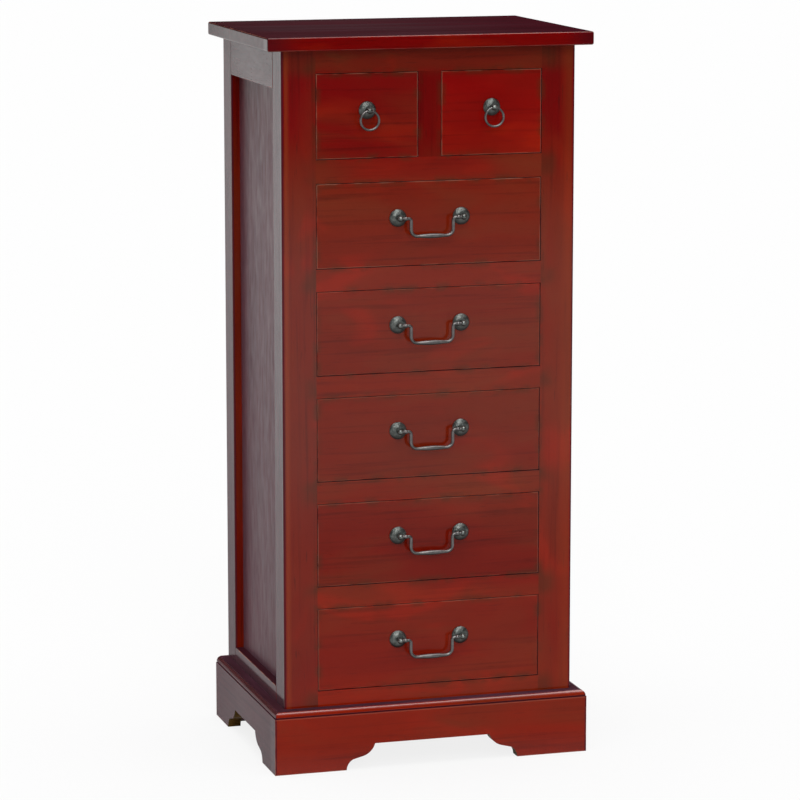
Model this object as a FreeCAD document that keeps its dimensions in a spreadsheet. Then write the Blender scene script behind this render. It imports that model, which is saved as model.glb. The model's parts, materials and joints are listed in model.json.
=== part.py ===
import FreeCAD, Part
import os
import re

import Sketcher

# A semainier: a tall chest with two small drawers over five wide ones.
# X runs to the right, Y to the back and Z up. The origin is the middle of the floor under the chest.

# The driving sizes, in millimetres. A name that ends in share is a part of the size that it follows.
SIZES = {
    # the carcass and the rows of drawers in it
    "carcass_width": 452,
    "carcass_depth": 350,
    "base_height": 120,
    "opening_height": 126.5,
    "rail_height": 33,
    "upper_rail_height": 35,
    "top_rail_height": 34,
    "post_width": 52,
    "post_depth": 50,
    "post_round": 2.5,
    "rail_depth": 30,
    "base_rail_height": 70,
    "muntin_width": 35,
    # the stub tenons that join posts and rails
    "tenon_length": 20,
    "tenon_thickness": 10,
    "tenon_shoulder": 4,
    "tenon_setback": 9,
    "muntin_tenon_length": 10,
    "muntin_tenon_width": 18,
    # the frame-and-panel sides
    "side_rail_thickness": 28,
    "side_top_rail_height": 58,
    "panel_recess": 13,
    "panel_thickness": 8,
    "panel_groove": 10,
    "panel_play": 0.8,
    # the back
    "back_panel_thickness": 6,
    "back_rebate": 10,
    "back_rail_thickness": 20,
    "back_rail_height": 60,
    # the top board
    "top_thickness": 20,
    "top_side_overhang": 24,
    "top_front_overhang": 17,
    "top_round": 3,
    # the plinth with its moulded top edge and scrolled bracket feet
    "plinth_height": 96,
    "plinth_thickness": 20,
    "moulding_ledge": 10.5,
    "moulding_height": 8,
    "moulding_setback": 1,
    "quirk_height": 1.5,
    "quirk_depth": 2.5,
    "arch_height": 38.5,
    "front_foot_length": 111,
    "side_foot_length": 77.5,
    "cove_width": 10,
    "cove_height": 16,
    "lobe_width": 34.5,
    "lobe_run": 15.5,
    "lobe_rise": 4,
    "cove_bow_share": 0.95,
    "lobe_bow_share": 1,
    # what the drawers run on, stop at and are kept down by
    "runner_seat": 14,
    "runner_height": 15,
    "guide_height": 15,
    "kicker_width": 35,
    "stop_width": 30,
    "stop_depth": 10,
    "stop_height": 5,
    # the drawers
    "drawer_gap": 0.8,
    "drawer_back_room": 24,
    "front_thickness": 18,
    "front_lap": 6,
    "front_round": 1.2,
    "drawer_side_drop": 22.5,
    "drawer_side_thickness": 10,
    "drawer_back_thickness": 10,
    "drawer_back_inset": 6,
    "drawer_back_drop": 8,
    "drawer_housing": 4,
    "drawer_groove": 5,
    "drawer_bottom_rise": 8,
    "drawer_bottom_thickness": 5,
    "tail_share": 0.6,
    "tail_flare_share": 0.08,
    # the posts that carry the pulls
    "rosette_radius": 13,
    "rosette_rim": 1.4,
    "dome_height": 6,
    "dome_radius": 11,
    "neck_radius": 3.3,
    "post_reach": 14,
    "ball_radius": 4.5,
    # the bails
    "pull_spacing": 98,
    "pull_rise": 9,
    "bail_wire_radius": 2.4,
    "bail_drop": 26.5,
    "bail_shoulder": 16.5,
    "bail_elbow": 4,
    "bail_bend": 10,
    "grip_radius": 3.6,
    "grip_end_share": 0.85,
    "collar_radius": 3.4,
    "collar_play": 0.4,
    "pivot_play": 0.05,
    "pivot_end_play": 0.5,
    # the rings
    "ring_rise": 8,
    "ring_radius": 14,
    "ring_wire_radius": 1.75,
    "ring_play": 0.3,
    # the screws that hold the pulls and the top
    "screw_radius": 2,
    "screw_head_radius": 4,
    "screw_head_height": 2.4,
    "screw_dome_radius": 5,
    "screw_bite": 6,
    "top_screw_bite": 12,
    "top_screw_inset": 70,
    "screw_play": 0.1,
    # how far a cut runs past what it cuts
    "overrun": 5,
}
WIDE_ROWS = 5
TAILS = 4
X_AXIS = FreeCAD.Vector(1, 0, 0)
ALONG_X = FreeCAD.Rotation(FreeCAD.Vector(0, 1, 0), 90)
TOWARDS_FRONT = FreeCAD.Rotation(X_AXIS, 90)
SAME_PLACE = 1e-3

# Places worked out from the sizes, as sums for the sheet.
LEFT = "(-carcass_width / 2)"
FRONT = "((plinth_thickness - carcass_depth) / 2)"
BACK = "((plinth_thickness + carcass_depth) / 2)"
PLINTH_LEFT = f"({LEFT} - plinth_thickness)"
PLINTH_FRONT = f"({FRONT} - plinth_thickness)"
FRONT_POST_BACK = f"({FRONT} + post_depth)"
BACK_POST_FRONT = f"({BACK} - post_depth)"
RAIL_BACK = f"({FRONT} + rail_depth)"
BACK_RAIL_BACK = f"({BACK} - back_panel_thickness)"
BACK_RAIL_FRONT = f"({BACK_RAIL_BACK} - back_rail_thickness)"
OPENING_LEFT = f"({LEFT} + post_width)"
OPENING_RIGHT = "(carcass_width / 2 - post_width)"
SIDE_INSIDE = f"({LEFT} + side_rail_thickness)"
PANEL_OUTSIDE = f"({LEFT} + panel_recess)"
BASE_BOTTOM = "(base_height - base_rail_height)"
ROW_PITCH = "(opening_height + rail_height)"
TOP_WIDE_FLOOR = f"(base_height + {WIDE_ROWS - 1} * {ROW_PITCH})"
SMALL_FLOOR = f"({TOP_WIDE_FLOOR} + opening_height + upper_rail_height)"
CARCASS_TOP = f"({SMALL_FLOOR} + opening_height + top_rail_height)"
TOP_RAIL_BOTTOM = f"({CARCASS_TOP} - top_rail_height)"
SIDE_TOP_RAIL_BOTTOM = f"({CARCASS_TOP} - side_top_rail_height)"
MUNTIN_LEFT = "(-muntin_width / 2)"
SMALL_CENTRE = f"(({OPENING_LEFT} + {MUNTIN_LEFT}) / 2)"
FRONT_INSIDE = f"({FRONT} + front_thickness)"
DRAWER_END = f"({BACK_RAIL_FRONT} - drawer_back_room)"
SIDE_HEIGHT = "(opening_height - drawer_side_drop)"
SCREW_HOLE = "(screw_radius + screw_play)"

doc = FreeCAD.newDocument("semainier")


def make_sheet():
    """The sheet of driving sizes: a word and a number on each row."""
    made = doc.addObject("Spreadsheet::Sheet", "dims")
    for row, (name, size) in enumerate(SIZES.items(), start=1):
        made.set(f"A{row}", name.replace("_", " "))
        made.set(f"B{row}", str(size))
        made.setAlias(f"B{row}", name)
    doc.recompute()
    return made


sheet = make_sheet()


def sized(words):
    """The sheet's expression for a sum that is written in the names of sizes."""
    return re.sub(r"[a-z]\w+", lambda word: "dims." + word[0] if word[0] in SIZES else word[0], words)


def value(words):
    """The number that such a sum comes to."""
    return float(sheet.evalExpression(sized(words)))


def place(made, at, turn=None):
    """Puts an object where three sums say, turned if need be."""
    if turn:
        made.Placement = FreeCAD.Placement(FreeCAD.Vector(), turn)
    for axis, words in zip("xyz", at):
        made.setExpression(f"Placement.Base.{axis}", sized(words))
    return made


def block(name, x, y, z):
    """A straight board, from its low to its high end along each axis."""
    made = doc.addObject("Part::Box", name)
    for side, (low, high) in zip(("Length", "Width", "Height"), (x, y, z)):
        made.setExpression(side, sized(f"({high}) - ({low})"))
    return place(made, (x[0], y[0], z[0]))


def rod(name, radius, length, at, turn=None):
    """A round bar or hole."""
    made = doc.addObject("Part::Cylinder", name)
    made.setExpression("Radius", sized(radius))
    made.setExpression("Height", sized(length))
    return place(made, at, turn)


def fused(name, pieces):
    """Blocks of one piece of wood, as one solid."""
    made = doc.addObject("Part::MultiFuse", name)
    made.Shapes = pieces
    made.Refine = True
    return made


def cut(name, base, tools):
    """A piece with everything that is let into it taken away."""
    made = doc.addObject("Part::Cut", name)
    made.Base = base
    made.Tool = tools[0] if len(tools) == 1 else fused(f"{name}_cuts", tools)
    made.Refine = True
    return made


def group(name, pieces):
    """Separate solids that share a node."""
    made = doc.addObject("Part::Compound", name)
    made.Links = pieces
    return made


def shifted(name, piece, x="0", y="0", z="0"):
    """The same piece again, further along."""
    return place(group(name, [piece]), (x, y, z))


def mirrored(name, piece, middle="0"):
    """The right-hand twin of a left-hand piece."""
    made = doc.addObject("Part::Mirroring", name)
    made.Source = piece
    made.Normal = X_AXIS
    made.setExpression("Base.x", sized(middle))
    return made


def body_plane(body, role):
    """One of the planes that a body has of its own."""
    return next(feature for feature in body.Origin.OriginFeatures if feature.Role == role)


def sketch_on(body, role, name):
    """An empty sketch on one of the body's planes."""
    made = body.newObject("Sketcher::SketchObject", name)
    made.AttachmentSupport = [(body_plane(body, role), "")]
    made.MapMode = "FlatFace"
    return made


def hold(sketch, kind, *where, size):
    """A dimension of a sketch, tied to the sheet."""
    index = sketch.addConstraint(Sketcher.Constraint(kind, *where, value(size)))
    sketch.setExpression(f"Constraints[{index}]", sized(size))


def bowed(start, finish, radius, left_turn):
    """The arc of a radius from one point to another, turning left or right on the way."""
    chord = finish - start
    across = FreeCAD.Vector(chord.y, -chord.x, 0).normalize()
    rise = radius - max(radius ** 2 - (chord.Length / 2) ** 2, 0) ** 0.5
    middle = (start + finish) / 2 + across * (rise if left_turn else -rise)
    return Part.Arc(start, middle, finish)


def draw(sketch, corners, bows=None, closed=True):
    """Lines through the corners, or an arc where bows gives its radius and whether it turns left."""
    bows = bows or {}
    first = sketch.GeometryCount
    places = [FreeCAD.Vector(value(x), value(y), 0) for x, y in corners]
    edges = len(corners) if closed else len(corners) - 1
    ends = []
    for edge in range(edges):
        start, finish = places[edge], places[(edge + 1) % len(places)]
        radius, left_turn = bows.get(edge, (None, True))
        curve = Part.LineSegment(start, finish)
        if radius:
            curve = bowed(start, finish, value(radius), left_turn)
        sketch.addGeometry(curve)
        ends.append((1, 2) if left_turn else (2, 1))
        hold(sketch, "DistanceX", -1, 1, first + edge, ends[edge][0], size=corners[edge][0])
        hold(sketch, "DistanceY", -1, 1, first + edge, ends[edge][0], size=corners[edge][1])
        if radius:
            hold(sketch, "Radius", first + edge, size=radius)
    for edge in range(edges if closed else edges - 1):
        after = (edge + 1) % edges
        joint = (first + edge, ends[edge][1], first + after, ends[after][0])
        sketch.addConstraint(Sketcher.Constraint("Coincident", *joint))
    if not closed:
        last = (first + edges - 1, ends[-1][1])
        hold(sketch, "DistanceX", -1, 1, *last, size=corners[-1][0])
        hold(sketch, "DistanceY", -1, 1, *last, size=corners[-1][1])


def rectangle(x, y):
    """The four corners of a rectangle from its low and high ends."""
    return [(x[0], y[0]), (x[1], y[0]), (x[1], y[1]), (x[0], y[1])]


def pad(body, sketch, length, backwards=False):
    """A sketch made thick."""
    made = body.newObject("PartDesign::Pad", f"{body.Name}_pad")
    made.Profile = sketch
    made.Reversed = backwards
    made.setExpression("Length", sized(length))
    return made


def pocket(body, sketch):
    """A sketch cut right through, both ways."""
    doc.recompute()
    before = body.Shape.Volume
    made = body.newObject("PartDesign::Pocket", f"{sketch.Name}_pocket")
    made.Profile = sketch
    made.Type = "ThroughAll"
    made.Midplane = True
    doc.recompute()
    if not body.Shape.Volume < before:
        raise RuntimeError(f"{made.Name} cuts nothing")
    return made


def revolve(body, sketch, axis):
    """A sketch turned once round one of its axes."""
    made = body.newObject("PartDesign::Revolution", f"{sketch.Name}_turned")
    made.Profile = sketch
    made.ReferenceAxis = (sketch, [axis])
    made.Angle = 360
    return made


def ease(body, solid, radius, wanted):
    """Rounds the edges of a solid whose two ends pass a test together."""
    doc.recompute()
    names = [
        f"Edge{number}"
        for number, edge in enumerate(solid.Shape.Edges, start=1)
        if wanted(*[corner.Point for corner in edge.Vertexes])
    ]
    made = body.newObject("PartDesign::Fillet", f"{body.Name}_eased")
    made.Base = (solid, names)
    made.setExpression("Radius", sized(radius))
    return made


def near(first, second):
    """Whether two places are the same."""
    return abs(first - second) < SAME_PLACE


def screw(name, length):
    """A pan-head screw along its own Z, with the seat of its head at zero."""
    body = doc.addObject("PartDesign::Body", name)
    profile = sketch_on(body, "XZ_Plane", f"{name}_profile")
    corners = [
        ("0", "-screw_head_height"),
        ("screw_radius", "-screw_head_height"),
        ("screw_head_radius", "0"),
        ("screw_radius", "0"),
        ("screw_radius", length),
        ("0", length),
    ]
    draw(profile, corners, {1: ("screw_dome_radius", True)})
    revolve(body, profile, "V_Axis")
    return body


def tenoned_rail(name, rail, tongue):
    """A rail with a tongue through it that stands out at both ends. The tongue also cuts its mortises."""
    tenon = block(f"{name}_tenon", *tongue)
    return fused(name, [block(f"{name}_rail", *rail), tenon]), tenon


def front_rail(name, low, high):
    """A rail between the front posts, flush with their faces."""
    tongue = (
        (f"{OPENING_LEFT} - tenon_length", f"{OPENING_RIGHT} + tenon_length"),
        (f"{FRONT} + tenon_setback", f"{FRONT} + tenon_setback + tenon_thickness"),
        (f"{low} + tenon_shoulder", f"{high} - tenon_shoulder"),
    )
    rail = ((OPENING_LEFT, OPENING_RIGHT), (FRONT, RAIL_BACK), (low, high))
    return tenoned_rail(name, rail, tongue)


def side_rail(name, low, high, tongue_low, tongue_high):
    """A rail between the front and the back post of the left side."""
    tongue = (
        (f"{LEFT} + tenon_setback", f"{LEFT} + tenon_setback + tenon_thickness"),
        (f"{FRONT_POST_BACK} - tenon_length", f"{BACK_POST_FRONT} + tenon_length"),
        (tongue_low, tongue_high),
    )
    rail = ((LEFT, SIDE_INSIDE), (FRONT_POST_BACK, BACK_POST_FRONT), (low, high))
    return tenoned_rail(name, rail, tongue)


def back_rail(name, low, high):
    """A rail between the back posts, behind the drawers."""
    middle = f"({BACK_RAIL_FRONT} + {BACK_RAIL_BACK}) / 2"
    tongue = (
        (f"{OPENING_LEFT} - tenon_length", f"{OPENING_RIGHT} + tenon_length"),
        (f"{middle} - tenon_thickness / 2", f"{middle} + tenon_thickness / 2"),
        (f"{low} + tenon_shoulder", f"{high} - tenon_shoulder"),
    )
    rail = ((OPENING_LEFT, OPENING_RIGHT), (BACK_RAIL_FRONT, BACK_RAIL_BACK), (low, high))
    return tenoned_rail(name, rail, tongue)


def wide_floor(row):
    """The floor of a wide opening, counted from the top one."""
    return f"({TOP_WIDE_FLOOR} - {row} * {ROW_PITCH})"


def front_rails():
    """The rails of the face frame and the tenons that the front posts are mortised for."""
    below_small = (f"{SMALL_FLOOR} - upper_rail_height", SMALL_FLOOR)
    spans = [below_small]
    spans += [(f"{wide_floor(row)} - rail_height", wide_floor(row)) for row in range(WIDE_ROWS - 1)]
    made = [front_rail(f"drawer_rail_{number}", *span) for number, span in enumerate(spans, start=1)]
    top = front_rail("top_rail_blank", TOP_RAIL_BOTTOM, CARCASS_TOP)
    bottom = front_rail("front_bottom_rail", BASE_BOTTOM, "base_height")
    return made, top, bottom


def muntin():
    """The upright between the small drawers, and its tenon, which is let into the rails above and below."""
    tenon = block(
        "muntin_tenon",
        ("-muntin_tenon_width / 2", "muntin_tenon_width / 2"),
        (f"{FRONT} + tenon_setback", f"{FRONT} + tenon_setback + tenon_thickness"),
        (f"{SMALL_FLOOR} - muntin_tenon_length", f"{TOP_RAIL_BOTTOM} + muntin_tenon_length"),
    )
    x = (MUNTIN_LEFT, f"-{MUNTIN_LEFT}")
    upright = block("muntin_upright", x, (FRONT, RAIL_BACK), (SMALL_FLOOR, TOP_RAIL_BOTTOM))
    return fused("centre_muntin", [upright, tenon]), tenon


def post_blank(name, front, back):
    """A left-hand post with its two outer edges eased."""
    body = doc.addObject("PartDesign::Body", name)
    plan = sketch_on(body, "XY_Plane", f"{name}_plan")
    draw(plan, rectangle((LEFT, OPENING_LEFT), (front, back)))
    solid = pad(body, plan, CARCASS_TOP)
    outer = value(LEFT)

    def upright_and_outer(low, high):
        return near(low.x, outer) and near(high.x, outer) and near(low.y, high.y)

    ease(body, solid, "post_round", upright_and_outer)
    return body


def panel_space(name, play):
    """Where the left side panel goes: between posts and rails and into their grooves, less some play."""
    reach = f"(panel_groove - {play})"
    return block(
        name,
        (PANEL_OUTSIDE, f"{PANEL_OUTSIDE} + panel_thickness"),
        (f"{FRONT_POST_BACK} - {reach}", f"{BACK_POST_FRONT} + {reach}"),
        (f"base_height - {reach}", f"{SIDE_TOP_RAIL_BOTTOM} + {reach}"),
    )


def back_space(name, play):
    """Where the back panel goes: over the back rails and into the rebates of the posts, less some play."""
    reach = f"(back_rebate - {play})"
    x = (f"{OPENING_LEFT} - {reach}", f"{OPENING_RIGHT} + {reach}")
    return block(name, x, (BACK_RAIL_BACK, BACK), (BASE_BOTTOM, CARCASS_TOP))


def runner():
    """A left-hand runner at the floor of a row, with the guide that keeps the drawer in line."""
    name = "runner"
    body = doc.addObject("PartDesign::Body", f"{name}_blank")
    section = sketch_on(body, "XZ_Plane", f"{name}_section")
    inside = f"{OPENING_LEFT} + runner_seat"
    corners = [
        (SIDE_INSIDE, "-runner_height"),
        (inside, "-runner_height"),
        (inside, "0"),
        (OPENING_LEFT, "0"),
        (OPENING_LEFT, "guide_height"),
        (SIDE_INSIDE, "guide_height"),
    ]
    draw(section, corners)
    pad(body, section, f"{BACK_POST_FRONT} - {RAIL_BACK}", backwards=True)
    place(body, ("0", RAIL_BACK, "0"))
    past_post = block(
        f"{name}_notch",
        (f"{SIDE_INSIDE} - overrun", OPENING_LEFT),
        (f"{RAIL_BACK} - overrun", FRONT_POST_BACK),
        ("-runner_height - overrun", "guide_height + overrun"),
    )
    return cut(name, body, [past_post])


def every_row(name, piece):
    """A piece at the floor of each row, on the left and again on the right."""
    floors = [SMALL_FLOOR] + [wide_floor(row) for row in range(WIDE_ROWS)]
    left = [shifted(f"{name}_left_{row}", piece, z=floor) for row, floor in enumerate(floors, start=1)]
    side = group(f"{name}_left", left)
    return group(name, [side, mirrored(f"{name}_right", side)])


def centre_runner():
    """The runner that both small drawers share, with one guide between them."""
    body = doc.addObject("PartDesign::Body", "centre_runner")
    section = sketch_on(body, "XZ_Plane", "centre_runner_section")
    edge = f"(-{MUNTIN_LEFT})"
    seat = f"({edge} + runner_seat)"
    corners = [
        (f"-{seat}", "-runner_height"),
        (seat, "-runner_height"),
        (seat, "0"),
        (edge, "0"),
        (edge, "guide_height"),
        (f"-{edge}", "guide_height"),
        (f"-{edge}", "0"),
        (f"-{seat}", "0"),
    ]
    draw(section, corners)
    pad(body, section, f"{BACK_RAIL_FRONT} - {RAIL_BACK}", backwards=True)
    return place(body, ("0", RAIL_BACK, SMALL_FLOOR))


def stop():
    """A stop on a rail, behind the lower edge of a drawer front."""
    return block(
        "stop",
        (f"{SMALL_CENTRE} - stop_width / 2", f"{SMALL_CENTRE} + stop_width / 2"),
        (FRONT_INSIDE, f"{FRONT_INSIDE} + stop_depth"),
        ("0", "stop_height"),
    )


def top_screw_places():
    """Where the screws go up through the kickers into the top, in plan."""
    beside = f"({OPENING_LEFT} + kicker_width / 2)"
    columns = (beside, "0", f"(-{beside})")
    rows = (f"({FRONT} + top_screw_inset)", f"({BACK} - top_screw_inset)")
    return [(x, y) for x in columns for y in rows]


def top_screws():
    """The screws that hold the top board down to the kickers, and the holes for them."""
    one = screw("top_screw", "top_rail_height + top_screw_bite")
    hole_length = "top_rail_height + top_screw_bite + screw_play"
    screws, holes = [], []
    for number, (x, y) in enumerate(top_screw_places(), start=1):
        screws.append(shifted(f"top_screw_{number}", one, x, y, TOP_RAIL_BOTTOM))
        holes.append(rod(f"top_hole_{number}", SCREW_HOLE, hole_length, (x, y, TOP_RAIL_BOTTOM)))
    return group("top_fixing_screws", screws), holes


def kickers(holes):
    """The strips under the top that keep the small drawers level and take the top's screws."""
    y = (RAIL_BACK, BACK_RAIL_FRONT)
    z = (TOP_RAIL_BOTTOM, CARCASS_TOP)
    left = block("kicker_left", (OPENING_LEFT, f"{OPENING_LEFT} + kicker_width"), y, z)
    middle = block("kicker_middle", ("-kicker_width / 2", "kicker_width / 2"), y, z)
    strips = [left, middle, mirrored("kicker_right", left)]
    drilled = [cut(f"{strip.Name}_drilled", strip, holes) for strip in strips]
    return group("top_kickers", drilled)


def top_board(holes):
    """The top, eased all round, with blind holes in its underside."""
    body = doc.addObject("PartDesign::Body", "top_blank")
    plan = sketch_on(body, "XY_Plane", "top_plan")
    half = "(carcass_width / 2 + top_side_overhang)"
    draw(plan, rectangle((f"-{half}", half), (f"{FRONT} - top_front_overhang", BACK)))
    solid = pad(body, plan, "top_thickness")
    ease(body, solid, "top_round", lambda start, end: True)
    place(body, ("0", "0", CARCASS_TOP))
    return cut("top_board", body, holes)


def moulded_section(sketch, inside):
    """A plinth board across its length: flat back, ledge, ovolo, the quirk grooved under it, and face."""
    face = f"({inside} - plinth_thickness)"
    brow = f"({face} + moulding_setback)"
    quirk = f"({face} + quirk_depth)"
    ledge = f"({inside} - moulding_ledge)"
    eaves = "plinth_height - moulding_height"
    corners = [
        (inside, "0"),
        (face, "0"),
        (face, f"{eaves} - quirk_height"),
        (quirk, f"{eaves} - quirk_height"),
        (quirk, eaves),
        (brow, eaves),
        (ledge, "plinth_height"),
        (inside, "plinth_height"),
    ]
    chord = f"sqrt(pow({brow} - {ledge}; 2) + pow(moulding_height; 2))"
    draw(sketch, corners, {5: (f"{chord} / sqrt(2)", False)})


def arch(sketch, foot):
    """The scrolled cut-out between two feet: a cove up from the floor, a sloping lobe, then the flat."""
    lip = f"({foot} - cove_width)"
    brink = f"({lip} - lobe_run)"
    flat = f"({lip} - lobe_width)"
    brink_height = "(cove_height + lobe_rise)"
    cove = "cove_bow_share * sqrt(pow(cove_width; 2) + pow(cove_height; 2))"
    lobe = f"lobe_bow_share * sqrt(pow(lobe_width - lobe_run; 2) + pow(arch_height - {brink_height}; 2))"
    corners = [
        (f"-{foot}", "-overrun"),
        (foot, "-overrun"),
        (foot, "0"),
        (lip, "cove_height"),
        (brink, brink_height),
        (flat, "arch_height"),
        (f"-{flat}", "arch_height"),
        (f"-{brink}", brink_height),
        (f"-{lip}", "cove_height"),
        (f"-{foot}", "0"),
    ]
    draw(sketch, corners, {2: (cove, True), 4: (lobe, False), 6: (lobe, False), 8: (cove, True)})


def plinth_front():
    """The front board of the plinth, mitred at both ends."""
    body = doc.addObject("PartDesign::Body", "plinth_front")
    section = sketch_on(body, "YZ_Plane", "plinth_front_section")
    moulded_section(section, FRONT)
    solid = pad(body, section, f"-2 * {PLINTH_LEFT}")
    solid.Midplane = True
    scroll = sketch_on(body, "XZ_Plane", "plinth_front_scroll")
    arch(scroll, f"(-{PLINTH_LEFT} - front_foot_length)")
    pocket(body, scroll)
    mitres = sketch_on(body, "XY_Plane", "plinth_front_mitres")
    for side in ("", "-"):
        corner = f"{side}({PLINTH_LEFT})"
        shoulder = f"{side}({LEFT} + overrun)"
        past = f"{side}({PLINTH_LEFT} - overrun)"
        inside = f"{FRONT} + overrun"
        draw(mitres, [(corner, PLINTH_FRONT), (shoulder, inside), (past, inside), (past, PLINTH_FRONT)])
    pocket(body, mitres)
    return body


def plinth_left():
    """The left board of the plinth, mitred at the front and square at the back."""
    body = doc.addObject("PartDesign::Body", "plinth_left")
    section = sketch_on(body, "XZ_Plane", "plinth_left_section")
    moulded_section(section, LEFT)
    solid = pad(body, section, f"{BACK} - {PLINTH_FRONT}")
    solid.Midplane = True
    scroll = sketch_on(body, "YZ_Plane", "plinth_left_scroll")
    arch(scroll, f"({BACK} - side_foot_length)")
    pocket(body, scroll)
    mitre = sketch_on(body, "XY_Plane", "plinth_left_mitre")
    past = f"{PLINTH_FRONT} - overrun"
    inside = f"{LEFT} + overrun"
    heel = (inside, f"{FRONT} + overrun")
    draw(mitre, [(PLINTH_LEFT, PLINTH_FRONT), heel, (inside, past), (PLINTH_LEFT, past)])
    pocket(body, mitre)
    return body


def make_carcass():
    """Everything that stands still: frame, panels, plinth, top and what the drawers run on."""
    nodes = []
    between, (top_rail, top_tenon), (bottom_rail, bottom_tenon) = front_rails()
    upright, upright_tenon = muntin()
    upper_rail = cut("drawer_rail_upper", between[0][0], [upright_tenon])
    nodes.append(group("drawer_rails", [upper_rail] + [rail for rail, tenon in between[1:]]))
    nodes += [cut("front_top_rail", top_rail, [upright_tenon]), bottom_rail, upright]

    groove = panel_space("panel_grooves", "0")
    low = side_rail(
        "side_bottom_blank",
        BASE_BOTTOM,
        "base_height",
        f"{BASE_BOTTOM} + tenon_shoulder",
        "base_height - panel_groove",
    )
    high = side_rail(
        "side_top_blank",
        SIDE_TOP_RAIL_BOTTOM,
        CARCASS_TOP,
        f"{SIDE_TOP_RAIL_BOTTOM} + panel_groove",
        f"{CARCASS_TOP} - tenon_shoulder",
    )
    for name, (rail, tenon) in (("side_bottom_rail", low), ("side_top_rail", high)):
        left = cut(f"{name}_left", rail, [groove])
        nodes.append(group(f"{name}s", [left, mirrored(f"{name}_right", left)]))
    left_panel = panel_space("left_side_panel", "panel_play")
    nodes += [left_panel, mirrored("right_side_panel", left_panel)]

    backs = [
        back_rail("back_rail_bottom", BASE_BOTTOM, "base_height"),
        back_rail("back_rail_middle", f"{SMALL_FLOOR} - upper_rail_height", SMALL_FLOOR),
        back_rail("back_rail_top", f"{CARCASS_TOP} - back_rail_height", CARCASS_TOP),
    ]
    nodes.append(group("back_rails", [rail for rail, tenon in backs]))
    nodes.append(back_space("back_panel", "panel_play"))

    side_tenons = [low[1], high[1]]
    front_tenons = [top_tenon, bottom_tenon] + [tenon for rail, tenon in between]
    front_post = post_blank("front_post_blank", FRONT, FRONT_POST_BACK)
    front_left = cut("front_left_post", front_post, side_tenons + front_tenons + [groove])
    back_tenons = [tenon for rail, tenon in backs]
    back_post = post_blank("back_post_blank", BACK_POST_FRONT, BACK)
    rebate = back_space("back_rebates", "0")
    back_left = cut("back_left_post", back_post, side_tenons + back_tenons + [groove, rebate])
    nodes += [front_left, mirrored("front_right_post", front_left)]
    nodes += [back_left, mirrored("back_right_post", back_left)]

    screws, holes = top_screws()
    nodes += [screws, kickers(holes), top_board(holes)]
    nodes += [every_row("drawer_runners", runner()), centre_runner(), every_row("drawer_stops", stop())]
    left_plinth = plinth_left()
    nodes += [plinth_front(), left_plinth, mirrored("plinth_right", left_plinth)]
    return nodes


def drawer_front_blank(name, x, floor):
    """A drawer front with its face edges eased, before anything is let into it."""
    body = doc.addObject("PartDesign::Body", f"{name}_front_blank")
    face = sketch_on(body, "XZ_Plane", f"{name}_face")
    width = (f"{x[0]} + drawer_gap", f"{x[1]} - drawer_gap")
    draw(face, rectangle(width, (f"{floor} + drawer_gap", f"{floor} + opening_height - drawer_gap")))
    solid = pad(body, face, "front_thickness", backwards=True)
    ease(body, solid, "front_round", lambda start, end: near(start.y, 0) and near(end.y, 0))
    return place(body, ("0", FRONT, "0"))


def drawer_side_blank(name, x, floor):
    """A left drawer side with its dovetails, which are lapped by the drawer front."""
    body = doc.addObject("PartDesign::Body", f"{name}_side_blank")
    outline = sketch_on(body, "YZ_Plane", f"{name}_side_outline")
    pitch = f"({SIDE_HEIGHT} / {TAILS})"
    lap = f"{FRONT} + front_lap"
    corners = [(DRAWER_END, floor), (FRONT_INSIDE, floor)]
    for tail in range(TAILS):
        middle = f"{floor} + {pitch} * ({tail} + 1 / 2)"
        wide = f"{pitch} * tail_share / 2"
        narrow = f"{pitch} * (tail_share / 2 - tail_flare_share)"
        corners += [(FRONT_INSIDE, f"{middle} - {narrow}"), (lap, f"{middle} - {wide}")]
        corners += [(lap, f"{middle} + {wide}"), (FRONT_INSIDE, f"{middle} + {narrow}")]
    top = f"{floor} + {SIDE_HEIGHT}"
    corners += [(FRONT_INSIDE, top), (DRAWER_END, top)]
    draw(outline, corners)
    pad(body, outline, "drawer_side_thickness")
    return place(body, (f"{x[0]} + drawer_gap", "0", "0"))


def drawer_back(name, x, floor):
    """The back of a drawer, housed between the sides and resting on the bottom."""
    reach = "(drawer_gap + drawer_side_thickness - drawer_housing)"
    end = f"({DRAWER_END} - drawer_back_inset)"
    return block(
        f"{name}_back",
        (f"{x[0]} + {reach}", f"{x[1]} - {reach}"),
        (f"{end} - drawer_back_thickness", end),
        (
            f"{floor} + drawer_bottom_rise + drawer_bottom_thickness",
            f"{floor} + {SIDE_HEIGHT} - drawer_back_drop",
        ),
    )


def drawer_bottom(name, x, floor):
    """The bottom of a drawer, in the grooves of the front and the sides, and under the back."""
    reach = "(drawer_gap + drawer_side_thickness - drawer_groove)"
    low = f"{floor} + drawer_bottom_rise"
    return block(
        f"{name}_bottom",
        (f"{x[0]} + {reach}", f"{x[1]} - {reach}"),
        (f"{FRONT_INSIDE} - drawer_groove", f"{DRAWER_END} - drawer_back_inset"),
        (low, f"{low} + drawer_bottom_thickness"),
    )


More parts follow.
